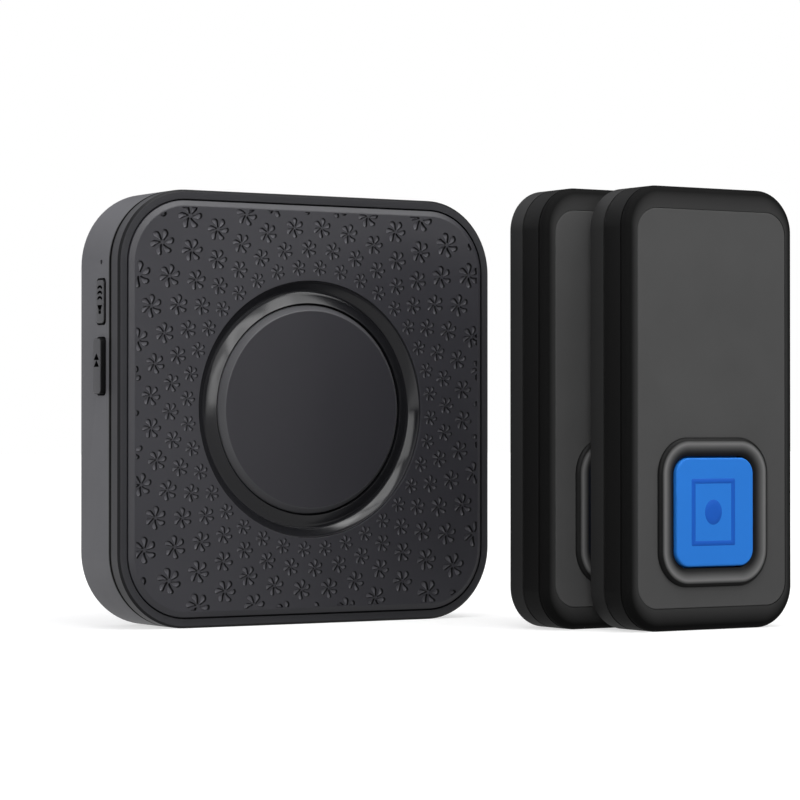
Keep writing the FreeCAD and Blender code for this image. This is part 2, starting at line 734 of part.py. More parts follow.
def receiver_radio_module():
    """Small card on the board, with a screening can on it."""
    left, top = REC_MID - CARD_LEFT, BOARD_TOP - CARD_DOWN
    card_front = BOARD_FRONT - CARD_THICK
    can_top = top - (CARD_HEIGHT - CAN_HEIGHT) / 2
    card = block(left, left + CARD_WIDTH, card_front, BOARD_FRONT, top - CARD_HEIGHT, top)
    can = block(
        left + CAN_INSET, left + CAN_INSET + CAN_WIDTH,
        card_front - CAN_THICK, card_front,
        can_top - CAN_HEIGHT, can_top,
    )
    return fused(card, can)


def receiver_antenna():
    """Straight wire aerial from the edge of the radio module's card."""
    start = REC_MID - CARD_LEFT + CARD_WIDTH
    z = BOARD_TOP - CARD_DOWN - AERIAL_DOWN
    y = BOARD_FRONT - CARD_THICK / 2
    return rod_x(y, z, AERIAL_RADIUS, start, start + AERIAL_LENGTH)


def receiver_capacitor():
    top = BOARD_FRONT - CAPACITOR_HEIGHT
    return turned(REC_MID + CAPACITOR_RIGHT, BOARD_TOP - CAPACITOR_DOWN, [
        (0, top),
        (CAPACITOR_RADIUS - CAPACITOR_EDGE, top),
        (CAPACITOR_RADIUS, top + CAPACITOR_EDGE),
        (CAPACITOR_RADIUS, BOARD_FRONT),
        (0, BOARD_FRONT),
    ])


def receiver_status_led():
    """Side-looking lamp on the board, behind the pinhole."""
    x, half = SIDE_SWITCH_IN + LED_LENS / 2, LED_WIDTH / 2
    lens_half = LED_LENS_SIDE / 2
    top = KEY_Y - lens_half - (LED_WIDTH - LED_LENS_SIDE) / 2
    return fused(
        block(x, x + LED_DEPTH, top, BOARD_FRONT, PINHOLE_Z - half, PINHOLE_Z + half),
        block(
            x - LED_LENS, x,
            KEY_Y - lens_half, KEY_Y + lens_half,
            PINHOLE_Z - lens_half, PINHOLE_Z + lens_half,
        ),
    )


# Side keys and their switches
def key_z(name):
    return REC_MID + KEY_UP[name]


def key_bar(name, grow, x0, x1):
    """Bar with the key's outline, running along X."""
    z, half = key_z(name), KEY_HEIGHT[name] / 2 + grow
    bar = slab(
        -KEY_WIDTH / 2 - grow, KEY_WIDTH / 2 + grow, z - half, z + half,
        KEY_CORNER + grow, 0, x1 - x0,
    )
    bar.rotate(Vector(0, 0, 0), Vector(0, 0, 1), -90)
    bar.translate(Vector(x0, KEY_Y, 0))
    return bar


def side_key(name):
    """Key cap, with a wider flange behind the wall that keeps it in."""
    flange_x = REC_WALL + KEY_FIT
    half_width = KEY_WIDTH / 2 + KEY_FLANGE
    half_height = KEY_HEIGHT[name] / 2 + KEY_FLANGE
    flange = block(
        flange_x, flange_x + KEY_FLANGE_THICK,
        KEY_Y - half_width, KEY_Y + half_width,
        key_z(name) - half_height, key_z(name) + half_height,
    )
    return fused(key_bar(name, 0, -KEY_PROUD[name], flange_x), flange)


def side_switch_body(name):
    z, half = key_z(name), SIDE_SWITCH_WIDE / 2
    x0, x1 = SIDE_SWITCH_IN, SIDE_SWITCH_IN + SIDE_SWITCH_DEEP
    body = block(x0, x1, BOARD_FRONT - SIDE_SWITCH_TALL, BOARD_FRONT, z - half, z + half)
    bore_end = x0 + STEM_SUNK + KEY_TRAVEL + STEM_SPARE
    return cut(body, stem_block(name, STEM_FIT, x0, bore_end))


def stem_block(name, grow, x0, x1):
    z, half = key_z(name), STEM_SIDE / 2 + grow
    return block(x0, x1, KEY_Y - half, KEY_Y + half, z - half, z + half)


def side_switch_stem(name):
    start = REC_WALL + KEY_FIT + KEY_FLANGE_THICK
    return stem_block(name, 0, start, SIDE_SWITCH_IN + STEM_SUNK)


# Battery bay contents
def battery_cell(row):
    """Round cell; the upper one's button end is on the right, the lower one's on the left."""
    z, barrel = CELL_ROWS[row], CELL_LENGTH - NUB_LENGTH
    if row == "upper":
        tip = BAY_RIGHT - CONTACT_THICK
        shoulder = tip - NUB_LENGTH
        return fused(
            rod_x(CELL_Y, z, CELL_RADIUS, shoulder - barrel, shoulder),
            rod_x(CELL_Y, z, NUB_RADIUS, shoulder, tip),
        )
    tip = BAY_LEFT + CONTACT_THICK
    shoulder = tip + NUB_LENGTH
    return fused(
        rod_x(CELL_Y, z, CELL_RADIUS, shoulder, shoulder + barrel),
        rod_x(CELL_Y, z, NUB_RADIUS, tip, shoulder),
    )


def receiver_battery_contact_plates():
    plates = []
    half = CONTACT_SIDE / 2
    for z in CELL_ROWS.values():
        for x in (BAY_LEFT, BAY_RIGHT - CONTACT_THICK):
            plates.append(block(
                x, x + CONTACT_THICK, CELL_Y - half, CELL_Y + half, z - half, z + half,
            ))
    return plates


def receiver_battery_springs():
    """Folded leaf springs behind the flat end of each cell."""
    return [
        leaf_spring(CELL_ROWS["upper"], BAY_LEFT + CONTACT_THICK, 1),
        leaf_spring(CELL_ROWS["lower"], BAY_RIGHT - CONTACT_THICK, -1),
    ]


def leaf_spring(z, foot, way):
    """Strip that stands on the contact plate at foot and leans out along X, the way given."""
    bow = way * (BAY_LENGTH - 2 * CONTACT_THICK - CELL_LENGTH)
    inner_bow = bow - way * LEAF_THICK
    foot_half, crest_half = LEAF_SPAN / 2, LEAF_CREST / 2
    z0 = z - LEAF_WIDTH / 2
    profile = [
        (0, -foot_half), (bow, -crest_half), (bow, crest_half), (0, foot_half),
        (0, foot_half - LEAF_THICK), (inner_bow, crest_half - LEAF_THICK),
        (inner_bow, LEAF_THICK - crest_half), (0, LEAF_THICK - foot_half),
    ]
    return prism([(foot + x, CELL_Y + y, z0) for x, y in profile], (0, 0, LEAF_WIDTH))


# Transmitter case
def face_slab(grow, y0, y1):
    side, end = FACE_SIDE_MARGIN - grow, FACE_END_MARGIN - grow
    return slab(side, TX_WIDTH - side, end, TX_HEIGHT - end, FACE_CORNER + grow, y0, y1)


def crown():
    """Rounded front edge of the cover, wider along the ends than along the sides."""
    sections = []
    for n in range(CROWN_STEPS + 1):
        angle = math.radians(90 * n / CROWN_STEPS)
        share = 1 - math.cos(angle)
        side, end = FACE_SIDE_MARGIN * share, FACE_END_MARGIN * share
        radius = TX_CORNER + (FACE_CORNER - TX_CORNER) * share
        y = COVER_REAR * (1 - math.sin(angle))
        sections.append(outline(side, TX_WIDTH - side, end, TX_HEIGHT - end, radius, y))
    return Part.makeLoft(sections, True, True)


def button_outline(grow, y):
    """The button's outline moved outwards."""
    half_width, half_height = BUTTON_WIDTH / 2 + grow, BUTTON_HEIGHT / 2 + grow
    return outline(
        TX_MID - half_width, TX_MID + half_width,
        BUTTON_Z - half_height, BUTTON_Z + half_height,
        BUTTON_CORNER + grow, y,
    )


def button_slab(grow, y0, y1):
    return Part.Face(button_outline(grow, y0)).extrude(Vector(0, y1 - y0, 0))


def board_rib_places():
    """Places where ribs of case and cover clamp the transmitter's board."""
    side, end = TX_BOARD_SIDE + TX_RIB_IN, TX_BOARD_END + TX_RIB_UP
    return [(x, z) for x in (side, TX_WIDTH - side) for z in (end, TX_HEIGHT - end)]


def snap_catches(grow):
    """Catches on the lip's long sides, or with grow their notches in the case."""
    inner = TX_WALL + TX_LIP_FIT
    x0, x1 = inner - CATCH_DEPTH - grow, inner
    half = CATCH_LENGTH / 2 + grow
    catches = []
    for end in (-1, 1):
        z = TX_HEIGHT / 2 + end * CATCH_SPACING / 2
        for a, b in ((x0, x1), (TX_WIDTH - x1, TX_WIDTH - x0)):
            catches.append(block(
                a, b, TX_LIP_END - CATCH_WIDTH - grow, TX_LIP_END + grow, z - half, z + half,
            ))
    return catches


def transmitter_front_cover():
    lip = edge_ribs(
        TX_WIDTH, TX_HEIGHT, TX_CORNER,
        TX_WALL + TX_LIP_FIT, TX_LIP_WALL, COVER_REAR, TX_LIP_END,
    )
    ribs = [
        square_rib(x, z, TX_RIB, COVER_REAR, TX_BOARD_FRONT) for x, z in board_rib_places()
    ]
    return cut(
        fused(crown(), *lip, *ribs, *snap_catches(0)),
        face_slab(0, -PAST, FACE_THICK),
        button_slab(BUTTON_GAP + COLLAR_THICK, 0, COVER_REAR),
    )


def transmitter_face_panel():
    panel = face_slab(-FACE_FIT, 0, FACE_THICK)
    return cut(panel, button_slab(BUTTON_GAP + COLLAR_THICK, 0, FACE_THICK))


def transmitter_button_surround():
    """Rounded bead with a collar behind it, swept around the button."""
    half = BEAD_WIDTH / 2
    crest = BUTTON_GAP + half
    z = BUTTON_Z - BUTTON_HEIGHT / 2 - crest
    collar = z + half - COLLAR_THICK
    section = [(COVER_REAR, z + half), (COVER_REAR, collar), (0, collar)]
    for n in range(BEAD_STEPS + 1):
        angle = math.pi * n / BEAD_STEPS
        section.append((-BEAD_HEIGHT * math.sin(angle), z - half * math.cos(angle)))
    points = [Vector(TX_MID, y, up) for y, up in section]
    profile = Part.makePolygon(points + points[:1])
    return button_outline(crest, 0).makePipeShell([profile], True, False)


def transmitter_button():
    """Cap with a chamfered edge, and a flange behind it that keeps it in."""
    cap = button_slab(0, -BUTTON_RISE, FLANGE_FRONT)
    cap = cap.makeChamfer(BUTTON_EDGE, edges_at(cap, -BUTTON_RISE))
    half_width = BUTTON_WIDTH / 2 + FLANGE_REACH
    half_height = BUTTON_HEIGHT / 2 + FLANGE_REACH
    flange = block(
        TX_MID - half_width, TX_MID + half_width,
        FLANGE_FRONT, FLANGE_REAR,
        BUTTON_Z - half_height, BUTTON_Z + half_height,
    )
    return fused(cap, flange)


def lug_places():
    """Middles of the four lugs on the back of the case."""
    return [
        (TX_MID + side * LUG_SPACING_X / 2, TX_HEIGHT / 2 + end * LUG_SPACING_Z / 2)
        for side in (-1, 1)
        for end in (-1, 1)
    ]


def transmitter_rear_case():
    case = cut(
        tall_slab(0, CASE_FRONT, CASE_REAR),
        tall_slab(TX_WALL, CASE_FRONT, CASE_INNER),
        *snap_catches(CATCH_FIT),
    )
    ribs = [
        square_rib(x, z, TX_RIB, TX_BOARD_BACK, CASE_INNER) for x, z in board_rib_places()
    ]
    return fused(case, *ribs, *[t_lug(x, z) for x, z in lug_places()])


def t_lug(x, z):
    """T-shaped lug on the back of the case; it hangs in a rail of the wall plate."""
    low, high = z - LUG_HEIGHT / 2, z + LUG_HEIGHT / 2
    neck = block(x - LUG_STEM / 2, x + LUG_STEM / 2, CASE_REAR, LUG_NECK_END, low, high)
    head = block(x - LUG_HEAD / 2, x + LUG_HEAD / 2, LUG_NECK_END, LUG_HEAD_END, low, high)
    return neck.fuse(head)


def transmitter_wall_plate():
    plate = tall_slab(0, PLATE_FRONT, PLATE_REAR)
    plate = plate.makeChamfer(PLATE_BEVEL, edges_at(plate, PLATE_REAR))
    floor = PLATE_REAR - PLATE_BACK_WALL
    plate = cut(plate, tall_slab(PLATE_RIM, PLATE_FRONT, floor))
    rails = [lug_rail(x, z, floor) for x, z in lug_places()]
    middle, half = TX_HEIGHT / 2, PLATE_HOLE_SPACING / 2
    holes = [
        rod_y(TX_MID, z, PLATE_HOLE_RADIUS, floor, PLATE_REAR)
        for z in (middle - half, middle + half)
    ]
    return cut(fused(plate, *rails), *holes)


def lug_rail(x, z, floor):
    """C-shaped rail, open at the top, closed below by a stop under the lug."""
    slot = LUG_HEAD / 2 + RAIL_FIT
    neck = LUG_STEM / 2 + RAIL_FIT
    low, high = z - LUG_HEIGHT / 2 - RAIL_FIT, z + LUG_HEIGHT / 2
    slot_front = LUG_NECK_END - RAIL_FIT
    front = slot_front - RAIL_LIP
    side = slot + RAIL_SIDE
    return cut(
        block(x - side, x + side, front, floor, low - RAIL_STOP, high),
        block(x - slot, x + slot, slot_front, floor, low, high),
        block(x - neck, x + neck, front, floor, low, high),
    )


# Inside a transmitter
def transmitter_weather_seal():
    """Soft flat ring in the groove between cover and case."""
    return cut(
        tall_slab(SEAL_INSET, COVER_REAR, CASE_FRONT),
        tall_slab(TX_WALL, COVER_REAR, CASE_FRONT),
    )


def transmitter_circuit_board():
    return block(
        TX_BOARD_SIDE, TX_WIDTH - TX_BOARD_SIDE,
        TX_BOARD_FRONT, TX_BOARD_BACK,
        TX_BOARD_END, TX_HEIGHT - TX_BOARD_END,
    )


def transmitter_coin_cell():
    """Coin cell with its smaller pole against the board."""
    step = TX_BOARD_FRONT - COIN_STEP
    return turned(TX_MID, COIN_Z, [
        (0, TX_BOARD_FRONT - COIN_THICK),
        (COIN_RADIUS, TX_BOARD_FRONT - COIN_THICK),
        (COIN_RADIUS, step),
        (COIN_RADIUS - COIN_RIM, step),
        (COIN_RADIUS - COIN_RIM, TX_BOARD_FRONT),
        (0, TX_BOARD_FRONT),
    ])


def transmitter_cell_clip():
    """Sprung metal bridge over the coin cell, with a foot at each end."""
    front = TX_BOARD_FRONT - COIN_THICK - CLIP_THICK
    foot = TX_BOARD_FRONT - CLIP_THICK
    inner = COIN_RADIUS + CLIP_REACH
    outer = inner + CLIP_THICK
    low, high = COIN_Z - CLIP_WIDTH / 2, COIN_Z + CLIP_WIDTH / 2
    parts = [block(TX_MID - outer, TX_MID + outer, front, front + CLIP_THICK, low, high)]
    for side in (-1, 1):
        a, b = sorted(TX_MID + side * reach for reach in (inner, outer))
        parts.append(block(a, b, front, TX_BOARD_FRONT, low, high))
        a, b = sorted(TX_MID + side * reach for reach in (outer, inner + CLIP_FOOT))
        parts.append(block(a, b, foot, TX_BOARD_FRONT, low, high))
    return fused(*parts)


def transmitter_switch_body():
    body = square_rib(TX_MID, BUTTON_Z, TX_SWITCH_SIDE, TX_SWITCH_FRONT, TX_BOARD_FRONT)
    bore_end = STEM_END + BUTTON_TRAVEL + TX_STEM_SPARE
    bore_side = TX_STEM_SIDE + 2 * STEM_FIT
    return cut(body, square_rib(TX_MID, BUTTON_Z, bore_side, TX_SWITCH_FRONT, bore_end))


def transmitter_switch_stem():
    return square_rib(TX_MID, BUTTON_Z, TX_STEM_SIDE, FLANGE_REAR, STEM_END)


def transmitter_radio_chip():
    above_button = BUTTON_Z + BUTTON_HEIGHT / 2 + TX_CHIP_UP
    return chip(
        TX_MID - TX_CHIP_LENGTH / 2, above_button,
        TX_CHIP_LENGTH, TX_CHIP_WIDTH, TX_CHIP_HEIGHT, TX_BOARD_FRONT, TX_CHIP_LEGS,
    )


RECEIVER = {
    "receiver_rear_shell": receiver_rear_shell,
    "receiver_front_cover": receiver_front_cover,
    "receiver_pattern_panel": receiver_pattern_panel,
    "receiver_trim_ring": receiver_trim_ring,
    "receiver_centre_disc": receiver_centre_disc,
    "receiver_volume_key": lambda: side_key("volume"),
    "receiver_melody_key": lambda: side_key("melody"),
    "receiver_volume_switch_body": lambda: side_switch_body("volume"),
    "receiver_melody_switch_body": lambda: side_switch_body("melody"),
    "receiver_volume_switch_stem": lambda: side_switch_stem("volume"),
    "receiver_melody_switch_stem": lambda: side_switch_stem("melody"),
    "receiver_speaker_frame": receiver_speaker_frame,
    "receiver_speaker_magnet": receiver_speaker_magnet,
    "receiver_speaker_cone": receiver_speaker_cone,
    "receiver_speaker_gasket": receiver_speaker_gasket,
    "receiver_speaker_leads": receiver_speaker_leads,
    "receiver_circuit_board": receiver_circuit_board,
    "receiver_sound_chip": receiver_sound_chip,
    "receiver_radio_module": receiver_radio_module,
    "receiver_antenna": receiver_antenna,
    "receiver_capacitor": receiver_capacitor,
    "receiver_status_led": receiver_status_led,
    "receiver_battery_cell_lower": lambda: battery_cell("lower"),
    "receiver_battery_cell_upper": lambda: battery_cell("upper"),
    "receiver_battery_contact_plates": receiver_battery_contact_plates,
    "receiver_battery_springs": receiver_battery_springs,
    "receiver_battery_door": receiver_battery_door,
    "receiver_case_screws": receiver_case_screws,
}

TRANSMITTER = {
    "wall_plate": transmitter_wall_plate,
    "rear_case": transmitter_rear_case,
    "front_cover": transmitter_front_cover,
    "face_panel": transmitter_face_panel,
    "button_surround": transmitter_button_surround,
    "button": transmitter_button,
    "weather_seal": transmitter_weather_seal,
    "circuit_board": transmitter_circuit_board,
    "coin_cell": transmitter_coin_cell,
    "cell_clip": transmitter_cell_clip,
    "switch_body": transmitter_switch_body,
    "switch_stem": transmitter_switch_stem,
    "radio_chip": transmitter_radio_chip,
}


# Put the kit together
def kit_origin():
    """Shift that brings the middle of the footprint to the origin."""
    left, right = -max(KEY_PROUD.values()), TX_A_LEFT + TX_WIDTH
    front, back = TX_A_FRONT - BEAD_HEIGHT, REC_DEPTH
    return Vector(-(left + right) / 2, -(front + back) / 2, 0)


def save(name, made, place):
    solids = made if isinstance(made, list) else made.Solids
    shape = Part.makeCompound(solids) if len(solids) > 1 else solids[0].copy()
    shape.translate(place)
    shape.exportStep("parts/" + name + ".step")


def main():
    origin = kit_origin()
    for name, make in RECEIVER.items():
        save(name, make(), origin)
    near = origin + Vector(TX_A_LEFT, TX_A_FRONT, 0)
    far = near + Vector(TX_B_STEP_X, PLATE_REAR + BEAD_HEIGHT + STACK_GAP, 0)
    for name, make in TRANSMITTER.items():
        made = make()
        save("transmitter_a_" + name, made, near)
        save("transmitter_b_" + name, made, far)


main()
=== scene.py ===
import math

import bmesh
import bpy
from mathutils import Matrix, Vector
from mathutils.geometry import delaunay_2d_cdt


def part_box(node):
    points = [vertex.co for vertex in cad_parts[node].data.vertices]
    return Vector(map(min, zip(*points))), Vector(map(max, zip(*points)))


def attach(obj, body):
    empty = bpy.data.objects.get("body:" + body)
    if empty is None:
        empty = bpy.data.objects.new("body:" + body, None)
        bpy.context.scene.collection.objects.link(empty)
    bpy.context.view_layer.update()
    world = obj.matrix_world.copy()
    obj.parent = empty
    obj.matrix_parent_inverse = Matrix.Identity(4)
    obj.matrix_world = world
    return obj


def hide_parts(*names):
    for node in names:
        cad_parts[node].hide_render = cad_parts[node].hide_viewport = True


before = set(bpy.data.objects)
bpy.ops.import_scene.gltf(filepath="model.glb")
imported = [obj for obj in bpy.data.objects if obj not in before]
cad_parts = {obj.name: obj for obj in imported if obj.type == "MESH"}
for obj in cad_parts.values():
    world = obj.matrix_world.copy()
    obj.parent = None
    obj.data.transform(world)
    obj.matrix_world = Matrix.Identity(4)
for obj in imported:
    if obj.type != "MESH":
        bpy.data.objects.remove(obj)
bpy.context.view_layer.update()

# A wireless doorbell: a square chime receiver and two push-button transmitters.
# Everything is in metres in the CAD frame: X to the right, Y to the back, Z up.
# Sizes written here are in millimetres; mm() brings them to metres.


def mm(value):
    return value / 1000


# Points on a full circle and on one quarter of a round corner
ROUND_STEPS = 192
CORNER_STEPS = 20

# Rounds on sections
SOFT_STEPS = 3
SOFT_SIDE = 2.8               # least side beside a round, in reaches of the round
SOFT_STRIP = 1.25             # where the strip beside a round ends, in the same


# Where each unit stands: its left foot corner, with y on its front plane
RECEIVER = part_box("receiver_front_cover")[0]
UNITS = {unit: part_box(f"transmitter_{unit}_front_cover")[0] for unit in "ab"}


def size_of(node):
    """Width, depth and height of a node."""
    low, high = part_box(node)
    return high - low


def from_receiver(node):
    """Lowest and highest corner of a node, measured from the receiver's corner."""
    low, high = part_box(node)
    return low - RECEIVER, high - RECEIVER


# Receiver sizes
CASE_SIDE = size_of("receiver_front_cover").x
CASE_CORNER = mm(15.5)
PANEL_LOW, PANEL_HIGH = from_receiver("receiver_pattern_panel")
PANEL_BEVEL = mm(1.25)
PANEL_FILLET = mm(0.16)
PANEL_GAP = mm(0.12)
RING_LOW, RING_HIGH = from_receiver("receiver_trim_ring")
RING_RADIUS = (RING_HIGH.x - RING_LOW.x) / 2
RING_FIT = mm(0.05)
RING_LIP = mm(0.14)
RING_FILLET = mm(0.06)
RING_SHARP_ANGLE = 50
RING_SLOPE_STEPS = 6          # between two of these
RING_SLOPES = (               # radius in mm and fall towards the middle in degrees
    (26.86, 50), (25.3, 38), (25.0, 15), (24.8, 0), (24.5, -15), (24.1, -26), (22.3, -34),
)
DISC_LOW, DISC_HIGH = from_receiver("receiver_centre_disc")
DISC_RADIUS = (DISC_HIGH.x - DISC_LOW.x) / 2
DISC_BEVEL = mm(1.2)
DISC_EDGE = mm(0.75)
DISC_BACK = mm(1.2)
DISC_FILLET = mm(0.14)
DISC_FACET = mm(0.1)          # radius of the small face in its middle
DISC_RIBS, DISC_RIB_INNER, DISC_RIB_OUTER, DISC_RIB_THICK = 3, mm(14), mm(20), mm(1.2)
CENTRE = Vector((CASE_SIDE / 2, 0, CASE_SIDE / 2))

# Relief of turning flowers on the panel
FLOWER_RINGS = 7
FLOWERS_PER_RING = 36
FLOWER_RING_RADIUS = mm(29.55)
FLOWER_RING_RATIO = 1.134
FLOWER_SIZE = 0.0575          # flower radius per radius of its ring
FLOWER_TURN = math.radians(-12)
FLOWER_PHASE = math.radians(1.3)
FLOWER_SHIFT = Vector((mm(-0.05), mm(0.18)))   # of the pattern's middle
PETALS = 6
PETAL_ROOT, PETAL_TIP_CENTRE, PETAL_TIP = 0.14, 0.75, 0.25    # in flower radii
PETAL_ROOT_WIDTH = 0.05       # half of it
PETAL_ROOT_INSET = 1.6        # how far the root moves out per inset
PETAL_BEND = 0.35             # radians per flower radius, turning as it goes out
PETAL_BEND_FROM = 0.5         # where the bend turns nothing, in flower radii
PETAL_DEPTH = 0.25            # in flower radii
PETAL_STEPS = (               # inset in flower radii, share of the depth, points
    (0.0, 0.0, 13), (0.08, 0.85, 11), (0.13, 1.0, 9),
)
PETAL_MARGIN = mm(0.1)        # kept flat along the panel's edge
PETAL_LEAST = 0.08            # share of a petal's area below which a cut one is left out

# Transmitter sizes
TX_SIZE = size_of("transmitter_a_wall_plate")
TX_CORNER = mm(8.5)
FACE_SIDE, FACE_END, FACE_CORNER = mm(2.5), mm(4.6), mm(4.9)
FACE_THICK = mm(0.8)
FACE_GAP = mm(0.06)
FACE_FILLET, FACE_FLAT = mm(0.18), mm(3)
FACE_LEDGE = mm(4)            # width of the step under the face panel
CROWN_STEPS = 14
COVER_REAR = mm(2.0)
BUTTON_Z = mm(24)
BUTTON_WIDTH, BUTTON_HEIGHT, BUTTON_CORNER = mm(19.6), mm(22), mm(3.3)
BUTTON_RISE = mm(0.9)
BUTTON_EDGE, BUTTON_EDGE_STEPS = mm(0.35), 6
BUTTON_EDGE_FLAT = 1.4        # where the button's flat top starts, in edge radii
BUTTON_GAP = mm(0.35)
FLANGE_REACH, FLANGE_FRONT, FLANGE_REAR = mm(1), mm(2.1), mm(2.9)
BEAD_WIDTH, BEAD_HEIGHT = mm(3.8), mm(0.94)
BEAD_STEPS = 24
BEAD_CREST = mm(2.5)          # from the bead's inner edge
BEAD_INNER = 0.25             # height of the inner edge, share of the crest's
COLLAR = mm(2.6)


# Building meshes
SAME_POINT, SAME_FLAT_POINT, NO_LENGTH = 1e-7, 1e-8, 1e-9
SHARP_ANGLE = 35.0


def piece(name, bm, material, body, node=None, sharp=SHARP_ANGLE):
    """Turn a bmesh into a smooth-shaded object that rides on a body.

    Edges over the sharp angle, in degrees, stay sharp. The node, if there is one, is hidden
    and the piece stands in its place.
    """
    bmesh.ops.remove_doubles(bm, verts=bm.verts, dist=SAME_POINT)
    bmesh.ops.recalc_face_normals(bm, faces=bm.faces)
    for edge in bm.edges:
        if edge.is_manifold and edge.calc_face_angle() > math.radians(sharp):
            edge.smooth = False
    for face in bm.faces:
        face.smooth = True
    mesh = bpy.data.meshes.new(name)
    bm.to_mesh(mesh)
    bm.free()
    obj = bpy.data.objects.new(name, mesh)
    bpy.context.scene.collection.objects.link(obj)
    mesh.materials.append(material)
    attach(obj, body)
    if node:
        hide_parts(node)
    return obj


LEAST_CORNER = mm(0.02)


def outline(x0, x1, z0, z1, radius, y, steps=CORNER_STEPS):
    """Rectangle with round corners in the plane y, anticlockwise from the front."""
    radius = max(radius, LEAST_CORNER)
    centres = [
        (x1 - radius, z0 + radius, -90), (x1 - radius, z1 - radius, 0),
        (x0 + radius, z1 - radius, 90), (x0 + radius, z0 + radius, 180),
    ]
    points = []
    for cx, cz, start in centres:
        for n in range(steps + 1):
            angle = math.radians(start + 90 * n / steps)
            points.append(Vector((
                cx + radius * math.cos(angle), y, cz + radius * math.sin(angle),
            )))
    return points


def circle(centre, radius, y, steps=ROUND_STEPS):
    """Circle in the plane y, anticlockwise from the front."""
    points = []
    for n in range(steps):
        angle = 2 * math.pi * n / steps
        points.append(Vector((
            centre.x + radius * math.cos(angle), y, centre.z + radius * math.sin(angle),
        )))
    return points


def softened(section, radius, closed=True):
    """Section with its corners rounded; a corner may carry its own radius as third value.

    A narrow straight strip stays on both sides of each round, which keeps the
    shading of the flat faces beside it even.
    """
    result = []
    count = len(section)
    for i, corner in enumerate(section):
        own = corner[2] if len(corner) > 2 else radius
        here = Vector(corner[:2])
        if own <= 0 or (not closed and i in (0, count - 1)):
            result.append(tuple(here))
            continue
        before, after = Vector(section[i - 1][:2]), Vector(section[(i + 1) % count][:2])
        reach = min(own, min((before - here).length, (after - here).length) / SOFT_SIDE)
        to_before, to_after = (before - here).normalized(), (after - here).normalized()
        start, end = here + to_before * reach, here + to_after * reach
        result.append(tuple(here + to_before * reach * SOFT_STRIP))
        for n in range(SOFT_STEPS + 1):
            t = n / SOFT_STEPS
            result.append(tuple(start * (1 - t) ** 2 + here * 2 * t * (1 - t) + end * t ** 2))
        result.append(tuple(here + to_after * reach * SOFT_STRIP))
    return result


def bridge(bm, rings, closed=False):
    """Join rings that have the same number of points with four-sided faces."""
    loops = [[bm.verts.new(p) for p in ring] for ring in rings]
    count = len(loops[0])
    pairs = list(zip(loops, loops[1:]))
    if closed:
        pairs.append((loops[-1], loops[0]))
    for a, b in pairs:
        for i in range(count):
            j = (i + 1) % count
            bm.faces.new((a[i], a[j], b[j], b[i]))
    return loops


def solid_loft(rings):
    """Closed solid through the rings, with flat ends."""
    bm = bmesh.new()
    loops = bridge(bm, rings)
    bm.faces.new(loops[0])
    bm.faces.new(loops[-1])
    return bm


def hollow_sweep(rings):
    """Closed tube-like solid: the last ring joins the first."""
    bm = bmesh.new()
    bridge(bm, rings, closed=True)
    return bm


def sheet_between(bm, outer, hole, y, dents=()):
    """Fill between an outline and a star-shaped hole in the plane y.

    Each dent is a group of loops with their depths. The relief_depth layer is 1 where
    a loop lies deeper than the sheet.
    """
    points, edges, depth = [], [], []

    def add_loop(loop, sink):
        start = len(points)
        points.extend(loop)
        depth.extend([sink] * len(loop))
        edges.extend(
            (start + i, start + (i + 1) % len(loop)) for i in range(len(loop)))

    add_loop([Vector((p.x, p.z)) for p in outer], 0.0)
    add_loop([Vector((p.x, p.z)) for p in hole], 0.0)
    for loops in dents:
        for loop, sink in loops:
            add_loop(loop, sink)
    centre = Vector((sum(p.x for p in hole), sum(p.z for p in hole))) / len(hole)
    spokes = sorted((math.atan2(p.z - centre.y, p.x - centre.x),
                     math.hypot(p.x - centre.x, p.z - centre.y)) for p in hole)
    verts, _, faces, origins, _, _ = delaunay_2d_cdt(points, edges, [], 1, SAME_FLAT_POINT)
    layers = bm.verts.layers.float
    relief = layers.get("relief_depth") or layers.new("relief_depth")
    made, level = [], []
    for vert, origin in zip(verts, origins):
        sink = max((depth[i] for i in origin), default=0.0)
        level.append(sink)
        made.append(bm.verts.new((vert.x, y + sink, vert.y)))
        made[-1][relief] = 1.0 if sink > 0 else 0.0
    rims = set()
    for face in faces:
        middle = sum((verts[i] for i in face), Vector((0, 0))) / len(face)
        if inside_hole(middle - centre, spokes):
            continue
        bm.faces.new([made[i] for i in face])
        if any(level[i] > 0 for i in face):
            rims.update(frozenset((made[a], made[b])) for a, b in zip(face, face[1:] + face[:1])
                        if level[a] == 0 and level[b] == 0)
    for a, b in rims:
        bm.edges.get((a, b)).smooth = False


def inside_hole(offset, spokes):
    """Whether a point lies inside a star-shaped loop given as sorted (angle, distance)."""
    angle = math.atan2(offset.y, offset.x)
    low, high = 0, len(spokes)
    while low < high:
        half = (low + high) // 2
        if spokes[half][0] < angle:
            low = half + 1
        else:
            high = half
    a1, r1 = spokes[low - 1]
    a2, r2 = spokes[low % len(spokes)]
    p1 = Vector((math.cos(a1), math.sin(a1))) * r1
    p2 = Vector((math.cos(a2), math.sin(a2))) * r2
    normal = Vector(((p2 - p1).y, -(p2 - p1).x))
    return (offset - p1).dot(normal) < 0


